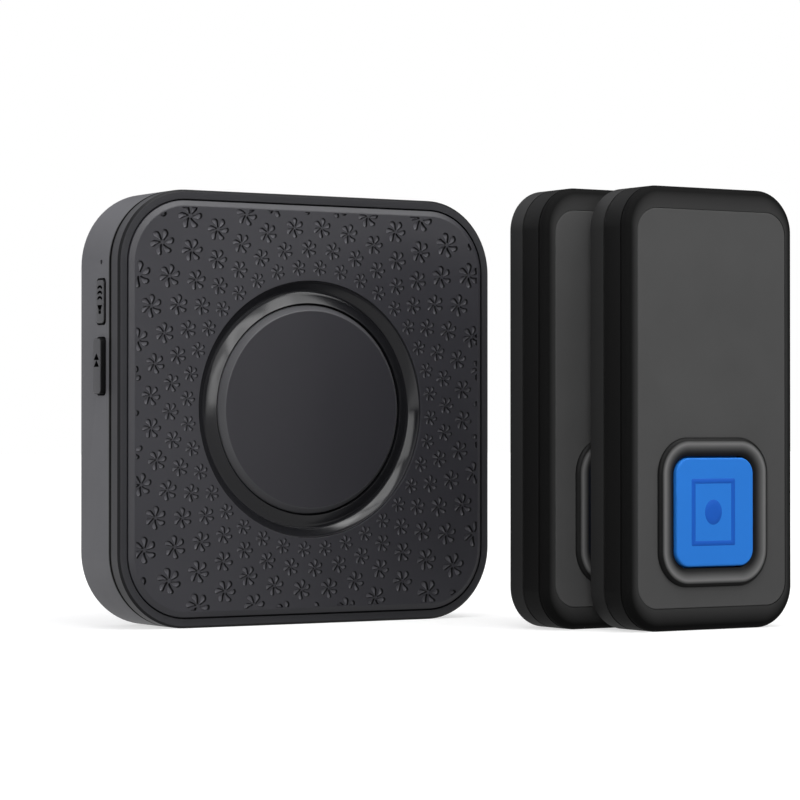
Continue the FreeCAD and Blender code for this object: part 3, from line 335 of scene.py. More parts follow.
# Materials. Noise scales are per metre.
MOTTLE_SCALE, MOTTLE_DETAIL = 90.0, 5.0
SMEAR_SCALE, SMEAR_DETAIL, SMEAR_ROUGHNESS = 35.0, 7.0, 0.65
SMEAR_RANGE = (0.3, 0.7)
LEAST_ROUGHNESS = 0.02
GRAIN_DETAIL, GRAIN_HEIGHT = 2.0, mm(0.03)
WORN_EDGES = (0.53, 0.62)      # pointiness from where the wear starts to where it is full
WORN_GAIN, WORN_LIFT = 1.5, 0.02
# Painted shade in narrow gaps and grooves: its reach, samples and what it leaves of the colour
CREVICE_SHADE_REACH, CREVICE_SHADE_SAMPLES, CREVICE_SHADE_SHARE = mm(0.6), 4, 0.08
STREAK_SCALE, STREAK_DETAIL, STREAK_STRETCH = 120.0, 6.0, (1, 12, 12)
STREAK_SPREAD = (-0.08, 0.12)  # of the roughness
# Relief depth ranges for painted shade on the walls and painted light on the floors
RELIEF_WALL, RELIEF_LIT_FLOOR = (0.0, 0.15), (0.8, 0.95)
RELIEF_WALL_SHADE = 0.03


def new_material(name):
    """A material, its node tree and its shader."""
    material = bpy.data.materials.new(name)
    material.use_nodes = True
    return material, material.node_tree, material.node_tree.nodes["Principled BSDF"]


def noise(tree, place, scale, detail, roughness=0.5):
    """Socket with soft noise between 0 and 1."""
    node = tree.nodes.new("ShaderNodeTexNoise")
    node.inputs["Scale"].default_value = scale
    node.inputs["Detail"].default_value = detail
    node.inputs["Roughness"].default_value = roughness
    tree.links.new(place, node.inputs["Vector"])
    return node.outputs["Fac"]


def remapped(tree, value, source, target=(0.0, 1.0)):
    """Socket with a value brought from one range to another."""
    node = tree.nodes.new("ShaderNodeMapRange")
    names = ("From Min", "From Max", "To Min", "To Max")
    for name, number in zip(names, (*source, *target)):
        node.inputs[name].default_value = number
    tree.links.new(value, node.inputs["Value"])
    return node.outputs["Result"]


def mixed(tree, factor, first, second):
    """Socket with a mix of two colours, each given as a socket or as three numbers."""
    node = tree.nodes.new("ShaderNodeMix")
    node.data_type = "RGBA"
    for name, colour in (("A", first), ("B", second)):
        if isinstance(colour, bpy.types.NodeSocket):
            tree.links.new(colour, node.inputs[name])
        else:
            node.inputs[name].default_value = (*colour, 1)
    tree.links.new(factor, node.inputs["Factor"])
    return node.outputs["Result"]


def along(tree, place, direction):
    """Socket with the dot product of a vector socket and a direction."""
    node = tree.nodes.new("ShaderNodeVectorMath")
    node.operation = "DOT_PRODUCT"
    node.inputs[1].default_value = direction
    tree.links.new(place, node.inputs[0])
    return node.outputs["Value"]


def shaded(colour, share):
    return [c * share for c in colour]


def plastic(name, colour, roughness, grain=0.0, grain_size=0.25, wear=0.25,
            specular=0.5, mottle=0.12, spread=0.06, grime=False):
    """Moulded plastic: slight mottling, uneven gloss, fine grain and paler worn edges.

    The grain's size is in millimetres. Optional painted shade darkens narrow gaps and grooves.
    """
    material, tree, shader = new_material(name)
    shader.inputs["Specular IOR Level"].default_value = specular
    place = tree.nodes.new("ShaderNodeTexCoord").outputs["Object"]

    broad = noise(tree, place, MOTTLE_SCALE, MOTTLE_DETAIL)
    surface = mixed(tree, broad, shaded(colour, 1 - mottle), shaded(colour, 1 + mottle))
    geometry = tree.nodes.new("ShaderNodeNewGeometry")
    edge = remapped(tree, geometry.outputs["Pointiness"], WORN_EDGES, (0.0, wear))
    worn = [min(1.0, c * WORN_GAIN + WORN_LIFT) for c in colour]
    surface = mixed(tree, edge, surface, worn)
    # Painted shade: ambient occlusion darkens the colour in narrow gaps and grooves
    if grime:
        open_sky = tree.nodes.new("ShaderNodeAmbientOcclusion")
        open_sky.samples = CREVICE_SHADE_SAMPLES
        open_sky.inputs["Distance"].default_value = CREVICE_SHADE_REACH
        tree.links.new(surface, open_sky.inputs["Color"])
        surface = mixed(tree, open_sky.outputs["AO"], shaded(colour, CREVICE_SHADE_SHARE), surface)
    tree.links.new(surface, shader.inputs["Base Color"])

    smear = noise(tree, place, SMEAR_SCALE, SMEAR_DETAIL, SMEAR_ROUGHNESS)
    gloss = remapped(tree, smear, SMEAR_RANGE,
                     (max(LEAST_ROUGHNESS, roughness - spread), roughness + spread))
    tree.links.new(gloss, shader.inputs["Roughness"])

    if grain > 0:
        bump = tree.nodes.new("ShaderNodeBump")
        bump.inputs["Strength"].default_value = grain
        bump.inputs["Distance"].default_value = GRAIN_HEIGHT
        fine = noise(tree, place, 1 / mm(grain_size), GRAIN_DETAIL)
        tree.links.new(fine, bump.inputs["Height"])
        tree.links.new(bump.outputs["Normal"], shader.inputs["Normal"])
    return material


def add_layer(material, mask, source, colour):
    """Blend another colour over a plastic where the mask socket runs through a range."""
    tree = material.node_tree
    base = tree.nodes["Principled BSDF"].inputs["Base Color"]
    below = base.links[0].from_socket
    tree.links.new(mixed(tree, remapped(tree, mask, source), below, colour), base)


def tilt_shaded_plastic(name, side_colour, top_colour, fade, direction=(0, -1, 0), **settings):
    """Moulded plastic with painted light and shade that change with the tilt from a direction.

    It fades from the top colour to the side colour over a range of angles in degrees.
    """
    material = plastic(name, side_colour, **settings)
    tree = material.node_tree
    angle = tree.nodes.new("ShaderNodeMath")
    angle.operation = "ARCCOSINE"
    normal = tree.nodes.new("ShaderNodeTexCoord").outputs["Normal"]
    tree.links.new(along(tree, normal, direction), angle.inputs[0])
    low, high = (math.radians(a) for a in fade)
    add_layer(material, angle.outputs["Value"], (high, low), top_colour)
    return material


def shadow_banded_plastic(name, colour, bands, **settings):
    """Moulded plastic with painted shade in bands along its outline.

    Each band has its depth, the reach to both sides, the width of its fade and what
    it leaves of the colour.
    """
    material = plastic(name, colour, **settings)
    tree = material.node_tree
    place = tree.nodes.new("ShaderNodeTexCoord").outputs["Object"]
    depth = along(tree, place, (0, 1, 0))
    for middle, reach, fade, share in bands:
        off, apart = tree.nodes.new("ShaderNodeMath"), tree.nodes.new("ShaderNodeMath")
        off.operation, apart.operation = "SUBTRACT", "ABSOLUTE"
        off.inputs[1].default_value = middle
        tree.links.new(depth, off.inputs[0])
        tree.links.new(off.outputs["Value"], apart.inputs[0])
        add_layer(material, apart.outputs["Value"], (reach + fade, reach),
                  shaded(colour, share))
    return material


def relief_shaded_plastic(name, colour, lit_floor_colour, **settings):
    """Moulded plastic; painted shade on the relief's walls, painted light on its floors."""
    material = plastic(name, colour, **settings)
    depth = material.node_tree.nodes.new("ShaderNodeAttribute")
    depth.attribute_name = "relief_depth"
    add_layer(material, depth.outputs["Fac"], RELIEF_WALL, shaded(colour, RELIEF_WALL_SHADE))
    add_layer(material, depth.outputs["Fac"], RELIEF_LIT_FLOOR, lit_floor_colour)
    return material


def metal(name, colour, roughness):
    """Plated or drawn metal with faint brushed streaks."""
    material, tree, shader = new_material(name)
    shader.inputs["Metallic"].default_value = 1.0
    shader.inputs["Base Color"].default_value = (*colour, 1)
    stretch = tree.nodes.new("ShaderNodeMapping")
    stretch.inputs["Scale"].default_value = STREAK_STRETCH
    place = tree.nodes.new("ShaderNodeTexCoord").outputs["Object"]
    tree.links.new(place, stretch.inputs["Vector"])
    streaks = noise(tree, stretch.outputs["Vector"], STREAK_SCALE, STREAK_DETAIL)
    low, high = STREAK_SPREAD
    gloss = remapped(tree, streaks, (0.0, 1.0), (roughness + low, roughness + high))
    tree.links.new(gloss, shader.inputs["Roughness"])
    return material


# Painted shadow along the parting line of the case and painted shade on the cover's shoulder
PARTING_SHADOW = (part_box("receiver_rear_shell")[0].y - mm(0.3), mm(0.6), mm(0.12), 0.03)
SHOULDER_SHADE = (RECEIVER.y + mm(0.27), mm(0.18), mm(0.08), 0.3)

MATERIALS = {
    # Case and cover: painted shadow along the parting line and painted shade in narrow gaps
    "case": shadow_banded_plastic("receiver_case_plastic", (0.085, 0.085, 0.092), (PARTING_SHADOW,),
                           roughness=0.42, grain=0.25, grain_size=0.3, specular=0.15,
                           grime=True),
    # Cover: also painted shade along its shoulder
    "cover": shadow_banded_plastic("receiver_cover_plastic", (0.033, 0.033, 0.0365),
                            (PARTING_SHADOW, SHOULDER_SHADE), roughness=0.38, grain=0.2,
                            grain_size=0.3, specular=0.15, grime=True),
    # Panel: painted shade on the relief's walls and painted light on its floors
    "panel": relief_shaded_plastic("panel_plastic", (0.032, 0.0315, 0.0375), (0.15, 0.148, 0.165),
                            roughness=0.4, grain=0.15, wear=0.0),
    "ring": plastic("ring_plastic", (0.014, 0.014, 0.016), 0.15, wear=0.1, spread=0.03),
    # Disc: painted highlight on its bevelled edge, which is paler than the face
    "disc": tilt_shaded_plastic("disc_plastic", (0.078, 0.078, 0.084), (0.032, 0.0312, 0.0366),
                          (15, 40), roughness=0.38, grain=0.12, grain_size=0.2, wear=0.0,
                          specular=0.4),
    # Keys: painted shade, sides near black beside the paler outer face, and in narrow gaps
    "key": tilt_shaded_plastic("key_plastic", (0.004, 0.004, 0.0045), (0.07, 0.07, 0.075),
                         (30, 60), direction=(-1, 0, 0), roughness=0.42, grain=0.15,
                         grain_size=0.3, specular=0.15, grime=True),
    "print": plastic("black_print", (0.0015, 0.0015, 0.0015), 0.6, 0.1, 0.1, wear=0.0,
                     specular=0.05),
    "tx_plate": plastic("wall_plate_plastic", (0.018, 0.018, 0.018), 0.5, 0.1, 0.3,
                        specular=0.1),
    "tx_case": plastic("transmitter_case_plastic", (0.005, 0.005, 0.005), 0.5, 0.1, 0.3,
                       specular=0.06),
    # Crown: painted shade, darker as it turns away from the front
    "crown": tilt_shaded_plastic("crown_plastic", (0.006, 0.006, 0.006), (0.042, 0.042, 0.042),
                           (0, 27), roughness=0.5, grain=0.08, grain_size=0.3, wear=0.05,
                           specular=0.03),
    # Bead: painted highlight where it faces the front, painted shade where it turns away
    "bead": tilt_shaded_plastic("surround_plastic", (0.009, 0.009, 0.009), (0.18, 0.18, 0.18),
                          (0, 23), roughness=0.4, grain=0.05, grain_size=0.3, wear=0.05,
                          specular=0.1),
    "face": plastic("face_plastic", (0.073, 0.073, 0.073), 0.6, 0.22, 0.22, specular=0.1,
                    wear=0.0),
    "button": plastic("blue_plastic", (0.02, 0.2, 0.71), 0.5, 0.1, 0.2, wear=0.1,
                      specular=0.2, mottle=0.04),
    "icon": plastic("deep_blue_plastic", (0.0075, 0.105, 0.54), 0.5, 0.1, 0.2, wear=0.0,
                    specular=0.2, mottle=0.04),
    "board": plastic("solder_mask", (0.015, 0.1, 0.035), 0.3, 0.1, 0.6),
    "chip": plastic("chip_resin", (0.012, 0.012, 0.012), 0.55, 0.3, 0.15),
    "rubber": plastic("soft_rubber", (0.008, 0.008, 0.008), 0.75, 0.3, 0.3, wear=0.1),
    "film": plastic("speaker_film", (0.05, 0.04, 0.03), 0.5, 0.2, 0.3),
    "lens": plastic("lamp_lens", (0.5, 0.55, 0.6), 0.15, wear=0.0),
    "wrap": plastic("cell_wrap", (0.35, 0.36, 0.38), 0.3, 0.05, 0.4, wear=0.1),
    "steel": metal("plated_steel", (0.6, 0.6, 0.58), 0.3),
    "magnet": metal("sintered_magnet", (0.12, 0.12, 0.13), 0.5),
    "copper": metal("copper_alloy", (0.75, 0.5, 0.3), 0.3),
}

# Looks of the CAD nodes that no piece replaces
NODE_MATERIALS = {
    "receiver_rear_shell": "case", "receiver_front_cover": "cover",
    "receiver_battery_door": "case",
    "receiver_volume_switch_body": "chip", "receiver_melody_switch_body": "chip",
    "receiver_volume_switch_stem": "chip", "receiver_melody_switch_stem": "chip",
    "receiver_speaker_frame": "steel", "receiver_speaker_magnet": "magnet",
    "receiver_speaker_cone": "film", "receiver_speaker_gasket": "rubber",
    "receiver_speaker_leads": "copper", "receiver_circuit_board": "board",
    "receiver_sound_chip": "chip", "receiver_radio_module": "board",
    "receiver_antenna": "copper", "receiver_capacitor": "wrap",
    "receiver_status_led": "lens", "receiver_battery_cell_lower": "wrap",
    "receiver_battery_cell_upper": "wrap", "receiver_battery_contact_plates": "steel",
    "receiver_battery_springs": "steel",
}
UNIT_MATERIALS = {
    "wall_plate": "tx_plate", "rear_case": "tx_case", "weather_seal": "rubber",
    "circuit_board": "board", "coin_cell": "steel", "cell_clip": "steel",
    "switch_body": "chip", "switch_stem": "chip", "radio_chip": "chip",
}
NODE_SHARP_ANGLE = 30


def paint_nodes():
    """Give each CAD node that no piece replaces its material and smooth shading."""
    looks = dict(NODE_MATERIALS)
    for unit in UNITS:
        for part, look in UNIT_MATERIALS.items():
            looks[f"transmitter_{unit}_{part}"] = look
    for node, look in looks.items():
        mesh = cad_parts[node].data
        mesh.materials.clear()
        mesh.materials.append(MATERIALS[look])
        for polygon in mesh.polygons:
            polygon.use_smooth = True
        mesh.set_sharp_from_angle(angle=math.radians(NODE_SHARP_ANGLE))


# Receiver front
def case_ring(inset, y):
    """The receiver's outline moved inwards."""
    low, high = RECEIVER + Vector((inset, 0, inset)), RECEIVER.x + CASE_SIDE - inset
    return outline(low.x, high, low.z, RECEIVER.z + CASE_SIDE - inset,
                   CASE_CORNER - inset, RECEIVER.y + y)


def middle_ring(radius, y):
    """Circle round the receiver's middle axis."""
    return circle(RECEIVER + CENTRE, radius, RECEIVER.y + y)


def petal(radius):
    """Nested loops of one petal that points along X from the flower's middle."""
    loops = []
    for inset, _, points in PETAL_STEPS:
        tip = PETAL_TIP - inset
        root = PETAL_ROOT + PETAL_ROOT_INSET * inset
        width = PETAL_ROOT_WIDTH * (1 - inset / PETAL_TIP)
        reach = math.pi - math.acos(tip / (PETAL_TIP_CENTRE - root))
        halfway = (root + PETAL_TIP_CENTRE) / 2, (width + tip) / 2
        loop = [(root, width), (root, -width), (halfway[0], -halfway[1])]
        for n in range(points):
            angle = reach * (2 * n / (points - 1) - 1)
            loop.append((PETAL_TIP_CENTRE + tip * math.cos(angle), tip * math.sin(angle)))
        loop.append(halfway)
        bent = []
        for a, b in loop:
            turn = PETAL_BEND * (a - PETAL_BEND_FROM)
            bent.append(Vector((
                a * math.cos(turn) - b * math.sin(turn),
                a * math.sin(turn) + b * math.cos(turn),
            )) * radius)
        loops.append(bent)
    return loops


def clipped(loop, border):
    """The part of a loop inside a convex border, or an empty list."""
    for i, a in enumerate(border):
        b = border[(i + 1) % len(border)]
        side = b - a
        if side.length < NO_LENGTH:
            continue
        normal = Vector((-side.y, side.x)).normalized()
        inwards = [(p - a).dot(normal) for p in loop]
        kept = []
        for j, p in enumerate(loop):
            k = (j + 1) % len(loop)
            if inwards[j] >= 0:
                kept.append(p)
            if inwards[j] * inwards[k] < 0:
                share = inwards[j] / (inwards[j] - inwards[k])
                kept.append(p + (loop[k] - p) * share)
        loop = kept
        if len(loop) < 3:
            return []
    return loop


def area(loop):
    """Area inside a loop of flat points."""
    return sum(p.x * q.y - q.x * p.y for p, q in zip(loop, loop[1:] + loop[:1])) / 2


def flower_dents(inset):
    """Petal dents of all the flowers, cut off at the panel's edge."""
    panel_middle = Vector((RECEIVER.x + CENTRE.x, RECEIVER.z + CENTRE.z))
    borders = []
    for n in range(len(PETAL_STEPS)):
        ring = case_ring(inset + PETAL_MARGIN * (1 + n), 0)
        borders.append([Vector((p.x, p.z)) for p in ring])
    far = max((p - panel_middle).length for p in borders[0])
    straight = CASE_SIDE / 2 - inset - PETAL_MARGIN * len(PETAL_STEPS)
    dents = []
    for k in range(FLOWER_RINGS):
        ring_radius = FLOWER_RING_RADIUS * FLOWER_RING_RATIO ** k
        radius = ring_radius * FLOWER_SIZE
        if ring_radius - radius > far:
            continue
        loops = petal(radius)
        for n in range(FLOWERS_PER_RING):
            polar = 2 * math.pi * (n + (0.5 if k % 2 == 0 else 0)) / FLOWERS_PER_RING
            polar += FLOWER_PHASE
            away = Vector((math.cos(polar), math.sin(polar))) * ring_radius + FLOWER_SHIFT
            if max(abs(away.x), abs(away.y)) - radius > straight:
                continue
            middle = panel_middle + away
            for m in range(PETALS):
                turn = polar + FLOWER_TURN + 2 * math.pi * m / PETALS
                cos, sin = math.cos(turn), math.sin(turn)
                group = []
                for i, loop in enumerate(loops):
                    placed = [middle + Vector((p.x * cos - p.y * sin, p.x * sin + p.y * cos))
                              for p in loop]
                    whole = area(placed)
                    placed = clipped(placed, borders[i])
                    if len(placed) < 3 or area(placed) < PETAL_LEAST * whole:
                        break
                    group.append((placed, PETAL_DEPTH * radius * PETAL_STEPS[i][1]))
                if len(group) > 1:
                    dents.append(group)
    return dents


def pattern_panel():
    """Bevelled panel with the relief and the hole for the ring."""
    edge = PANEL_LOW.x + PANEL_GAP
    rise, seat = PANEL_LOW.y, PANEL_HIGH.y
    side = softened(
        [(edge, seat), (edge, 0.0), (edge + PANEL_BEVEL - PANEL_GAP, rise),
         (edge + 2 * PANEL_BEVEL, rise)],
        PANEL_FILLET, closed=False,
    )[:-1]                    # the last point is only there for the round before it
    bm = bmesh.new()
    rings = [case_ring(inset, y) for inset, y in side]
    bridge(bm, rings)
    hole_radius = RING_RADIUS + RING_FIT
    wall = softened(
        [(hole_radius, seat), (hole_radius, rise), (hole_radius + PANEL_BEVEL, rise)],
        PANEL_FILLET / 2, closed=False,
    )[:-1]
    hole = [middle_ring(radius, y) for radius, y in wall]
    bridge(bm, hole)
    plateau = side[-1][0]
    sheet_between(bm, rings[-1], hole[-1], RECEIVER.y + rise, flower_dents(plateau))
    sheet_between(bm, rings[0], hole[0], RECEIVER.y + seat)
    piece("pattern_panel", bm, MATERIALS["panel"], "receiver",
          "receiver_pattern_panel")


def trim_ring():
    """Lip, hollow channel and hidden foot of the ring."""
    rim, top, foot = RING_RADIUS, RING_LOW.y, RING_HIGH.y
    section = [(rim, foot, 0), (rim, top, RING_FILLET), (rim - RING_LIP, top, RING_FILLET)]
    y = top
    for (r1, fall1), (r2, fall2) in zip(RING_SLOPES, RING_SLOPES[1:]):
        for n in range(RING_SLOPE_STEPS):
            fall = fall1 + (fall2 - fall1) * (n + 0.5) / RING_SLOPE_STEPS
            y += mm(r1 - r2) / RING_SLOPE_STEPS * math.tan(math.radians(fall))
            section.append((mm(r1 + (r2 - r1) * (n + 1) / RING_SLOPE_STEPS), y, 0))
    inner = section.pop()
    section.append((inner[0], inner[1], RING_FILLET))
    section.append((inner[0], foot, 0))
    rings = [middle_ring(radius, y) for radius, y in softened(section, 0)]
    piece("trim_ring", hollow_sweep(rings), MATERIALS["ring"], "receiver",
          "receiver_trim_ring", sharp=RING_SHARP_ANGLE)


def centre_disc():
    """Disc with a bevelled edge, on three radial ribs."""
    rise = DISC_LOW.y
    section = softened([
        (DISC_FACET, rise, 0), (DISC_RADIUS / 2, rise, 0),
        (DISC_RADIUS - DISC_BEVEL, rise, DISC_FILLET),
        (DISC_RADIUS, DISC_EDGE, DISC_FILLET), (DISC_RADIUS, DISC_BACK, 0),
        (DISC_RADIUS / 2, DISC_BACK, 0),
    ], 0, closed=False)
    bm = solid_loft([middle_ring(radius, y) for radius, y in section])
    for n in range(DISC_RIBS):
        angle = math.radians(90 + 360 * n / DISC_RIBS)
        outwards = Vector((math.cos(angle), 0, math.sin(angle)))
        across = Vector((-math.sin(angle), 0, math.cos(angle))) * DISC_RIB_THICK / 2
        rib = []
        for y in (DISC_BACK, DISC_HIGH.y):
            base = RECEIVER + CENTRE + Vector((0, y, 0))
            inner, outer = base + outwards * DISC_RIB_INNER, base + outwards * DISC_RIB_OUTER
            rib.append([inner - across, outer - across, outer + across, inner + across])
        for loop in bridge(bm, rib):
            bm.faces.new(loop)
    piece("centre_disc", bm, MATERIALS["disc"], "receiver",
          "receiver_centre_disc")


# Side keys of the receiver
KEY_WIDTH, KEY_CORNER, KEY_EDGE = mm(4), mm(0.8), mm(0.3)
KEY_EDGE_STEPS, KEY_CORNER_STEPS = 5, 6
KEY_FLANGE, KEY_FLANGE_THICK = mm(0.7), mm(0.9)
KEY_GAP = mm(0.25)
PRINT_THICK = mm(0.03)


def side_key(name):
    """Key cap with rounded edges, and the flange behind the wall.

    Gives back the middle of its outer face.
    """
    low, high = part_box(f"receiver_{name}_key")
    y, z = (low.y + high.y) / 2, (low.z + high.z) / 2
    half_y, half_z = KEY_WIDTH / 2 - KEY_GAP, (high.z - low.z) / 2 - KEY_FLANGE - KEY_GAP
    flange = high.x - KEY_FLANGE_THICK
    foot = KEY_FLANGE + KEY_GAP
    profile = [(high.x, foot), (flange, foot), (flange, 0), (low.x + KEY_EDGE, 0)]
    for n in range(1, KEY_EDGE_STEPS + 1):
        angle = math.pi / 2 * n / KEY_EDGE_STEPS
        profile.append((low.x + KEY_EDGE * (1 - math.sin(angle)),
                        -KEY_EDGE * (1 - math.cos(angle))))
    rings = []
    for x, grow in profile:
        ring = outline(-half_y - grow, half_y + grow, -half_z - grow, half_z + grow,
                       KEY_CORNER + grow, 0, steps=KEY_CORNER_STEPS)
        rings.append([Vector((x, y + p.x, z + p.z)) for p in ring])
    piece(f"{name}_key", solid_loft(rings), MATERIALS["key"], f"{name}_key",
          f"receiver_{name}_key")
    return low.x, y, z


def printed(name, x, loops, body):
    """Thin raised print on a key; each loop is (y, z) corners."""
    bm = bmesh.new()
    for loop in loops:
        rings = [[Vector((at, y, z)) for y, z in loop] for at in (x + PRINT_THICK, x)]
        for ring in bridge(bm, rings):
            bm.faces.new(ring)
    piece(name, bm, MATERIALS["print"], body)


# Key prints, measured from the key's middle: half widths, then heights
SPEAKER_BOX = mm(0.55), (mm(-2.5), mm(-1.8))
SPEAKER_HORN = (mm(0.55), mm(1.1)), (mm(-1.7), mm(-0.7))
WAVES, WAVE_FOOT, WAVE_STEP = 3, mm(-0.4), mm(1.1)
WAVE_RADIUS, WAVE_THICK = mm(1.55), mm(0.5)
WAVE_ARC = [math.radians(a) for a in range(40, 141, 10)]
ARROWS, ARROW_FOOT, ARROW_HALF, ARROW_HEIGHT = 2, mm(-0.15), mm(1.2), mm(1.4)


def volume_icon(x, y, z):
    """Small loudspeaker with three sound waves above it."""
    half, (foot, top) = SPEAKER_BOX
    loops = [[(y - half, z + foot), (y + half, z + foot),
              (y + half, z + top), (y - half, z + top)]]
    (narrow, wide), (foot, top) = SPEAKER_HORN
    loops.append([(y - narrow, z + foot), (y + narrow, z + foot),
                  (y + wide, z + top), (y - wide, z + top)])
    for n in range(WAVES):
        middle, inside = z + WAVE_FOOT + WAVE_STEP * n, WAVE_RADIUS - WAVE_THICK
        outer = [(y + WAVE_RADIUS * math.cos(a), middle + WAVE_RADIUS * math.sin(a))
                 for a in WAVE_ARC]
        inner = [(y + inside * math.cos(a), middle + inside * math.sin(a))
                 for a in reversed(WAVE_ARC)]
        loops.append(outer + inner)
    printed("volume_icon", x, loops, "volume_key")


def melody_icon(x, y, z):
    """Two stacked arrowheads."""
    loops = []
    for n in range(ARROWS):
        foot = z + ARROW_HEIGHT * n + ARROW_FOOT
        loops.append([(y - ARROW_HALF, foot), (y + ARROW_HALF, foot),
                      (y, foot + ARROW_HEIGHT)])
    printed("melody_icon", x, loops, "melody_key")


# Screws of the receiver's case
SCREW_RADIUS, SCREW_HEAD, SCREW_HEAD_THICK = mm(1.1), mm(2.1), mm(1.4)
SCREW_POINT, SCREW_FILLET = mm(0.8), mm(0.3)
SCREW_STEPS = 48
CROSS_REACH, CROSS_HALF, CROSS_DEPTH = mm(1.3), mm(0.26), mm(0.8)
CROSS_TAPER = (0.6, 0.8)      # of the reach and of the half width, at its floor


def cross(middle, reach, half, y):
    """Points of a cross recess, anticlockwise from the front."""
    corner = [(reach, -half), (reach, half), (half, half)]
    points = []
    for n in range(4):
        cos, sin = round(math.cos(math.pi / 2 * n)), round(math.sin(math.pi / 2 * n))
        points += [middle + Vector((a * cos - b * sin, y, a * sin + b * cos))
                   for a, b in corner]
    return points


def case_screws():
    """Two screws with cross recesses in their heads, which face the back."""
    low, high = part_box("receiver_case_screws")
    seat = high.y - SCREW_HEAD_THICK
    section = softened([
        (SCREW_RADIUS / 2, low.y, 0), (SCREW_RADIUS, low.y + SCREW_POINT, 0),
        (SCREW_RADIUS, seat, 0), (SCREW_HEAD, seat, 0), (SCREW_HEAD, high.y, SCREW_FILLET),
        (SCREW_RADIUS, high.y, 0),
    ], 0, closed=False)[:-1]
    bm = bmesh.new()
    for x in (low.x + SCREW_HEAD, high.x - SCREW_HEAD):
        middle = Vector((x, 0, low.z + SCREW_HEAD))
        rings = [circle(middle, radius, y, steps=SCREW_STEPS) for radius, y in section]
        loops = bridge(bm, rings)
        bm.faces.new(loops[0])
        recess = [cross(middle, CROSS_REACH, CROSS_HALF, high.y),
                  cross(middle, CROSS_REACH * CROSS_TAPER[0], CROSS_HALF * CROSS_TAPER[1],
                        high.y - CROSS_DEPTH)]
        bm.faces.new(bridge(bm, recess)[-1])
        sheet_between(bm, rings[-1], recess[0], high.y)
    piece("case_screws", bm, MATERIALS["steel"], "receiver",
          "receiver_case_screws")


# Transmitters
def unit_ring(corner, inset_x, inset_z, radius, y):
    """A transmitter's outline moved inwards by different amounts."""
    return outline(corner.x + inset_x, corner.x + TX_SIZE.x - inset_x,
                   corner.z + inset_z, corner.z + TX_SIZE.z - inset_z, radius, corner.y + y)


def face_ring(corner, grow, y):
    """Outline of the recess for the face panel, moved outwards."""
    return unit_ring(corner, FACE_SIDE - grow, FACE_END - grow, FACE_CORNER + grow, y)


def button_ring(corner, grow, y):
    """Outline of the button, moved outwards."""
    middle_x, middle_z = corner.x + TX_SIZE.x / 2, corner.z + BUTTON_Z
    half_x, half_z = BUTTON_WIDTH / 2 + grow, BUTTON_HEIGHT / 2 + grow
    return outline(middle_x - half_x, middle_x + half_x, middle_z - half_z, middle_z + half_z,
                   BUTTON_CORNER + grow, corner.y + y)


def front_cover(unit, corner, body):
    """Crown round the face panel, with the step that the panel lies in."""
    rings = []
    for n in range(CROWN_STEPS + 1):
        angle = math.pi / 2 * n / CROWN_STEPS
        share = 1 - math.cos(angle)
        rings.append(unit_ring(
            corner, FACE_SIDE * share, FACE_END * share,
            TX_CORNER + (FACE_CORNER - TX_CORNER) * share, COVER_REAR * (1 - math.sin(angle)),
        ))
    rings.append(face_ring(corner, 0, FACE_THICK))
    rings.append(face_ring(corner, -FACE_LEDGE, FACE_THICK))
    rings.append(face_ring(corner, -FACE_LEDGE, COVER_REAR))
    piece(f"front_cover_{unit}", hollow_sweep(rings), MATERIALS["crown"], body,
          f"transmitter_{unit}_front_cover")


def face_panel(unit, corner, body):
    """Matte plate with an opening for the button's surround."""
    bm = bmesh.new()
    edge = softened([(0.0, FACE_THICK), (0.0, 0.0), (-FACE_FLAT, 0.0)], FACE_FILLET,
                    closed=False)[:-1]
    outer = [face_ring(corner, grow - FACE_GAP, y) for grow, y in edge]
    opening = BUTTON_GAP + COLLAR
    hole = [button_ring(corner, opening, y) for y in (FACE_THICK, 0.0)]
    bridge(bm, outer)
    bridge(bm, hole)
    sheet_between(bm, outer[-1], hole[-1], corner.y)
    sheet_between(bm, outer[0], hole[0], corner.y + FACE_THICK)
    piece(f"face_panel_{unit}", bm, MATERIALS["face"], body,
          f"transmitter_{unit}_face_panel")


def button_surround(unit, corner, body):
    """Rounded bead with a collar behind it."""
    half, collar = BEAD_WIDTH / 2, BUTTON_GAP + COLLAR
    section = [(BUTTON_GAP, COVER_REAR), (collar, COVER_REAR), (collar, 0)]
    for n in range(BEAD_STEPS + 1):
        angle = math.pi * n / BEAD_STEPS
        across = half + half * math.cos(angle)
        if across < BEAD_CREST:
            height = BEAD_INNER + (1 - BEAD_INNER) * math.sin(math.pi / 2 * across / BEAD_CREST)
        else:
            outside = (across - BEAD_CREST) / (BEAD_WIDTH - BEAD_CREST)
            height = math.cos(math.asin(min(1.0, outside)))
        section.append((BUTTON_GAP + across, -BEAD_HEIGHT * height))
    rings = [button_ring(corner, grow, y) for grow, y in section]
    piece(f"button_surround_{unit}", hollow_sweep(rings), MATERIALS["bead"], body,
          f"transmitter_{unit}_button_surround")


def push_button(unit, corner, body):
    """Button with a rounded edge, and the flange behind the cover."""
    section = [(FLANGE_REACH, FLANGE_REAR), (FLANGE_REACH, FLANGE_FRONT), (0, FLANGE_FRONT)]
    for n in range(BUTTON_EDGE_STEPS + 1):
        angle = math.pi / 2 * n / BUTTON_EDGE_STEPS
        section.append((-BUTTON_EDGE * (1 - math.cos(angle)),
                        -BUTTON_RISE + BUTTON_EDGE * (1 - math.sin(angle))))
    section.append((-BUTTON_EDGE * BUTTON_EDGE_FLAT, -BUTTON_RISE))
    rings = [button_ring(corner, grow, y) for grow, y in section]
    piece(f"button_{unit}", solid_loft(rings), MATERIALS["button"], body,
          f"transmitter_{unit}_button")


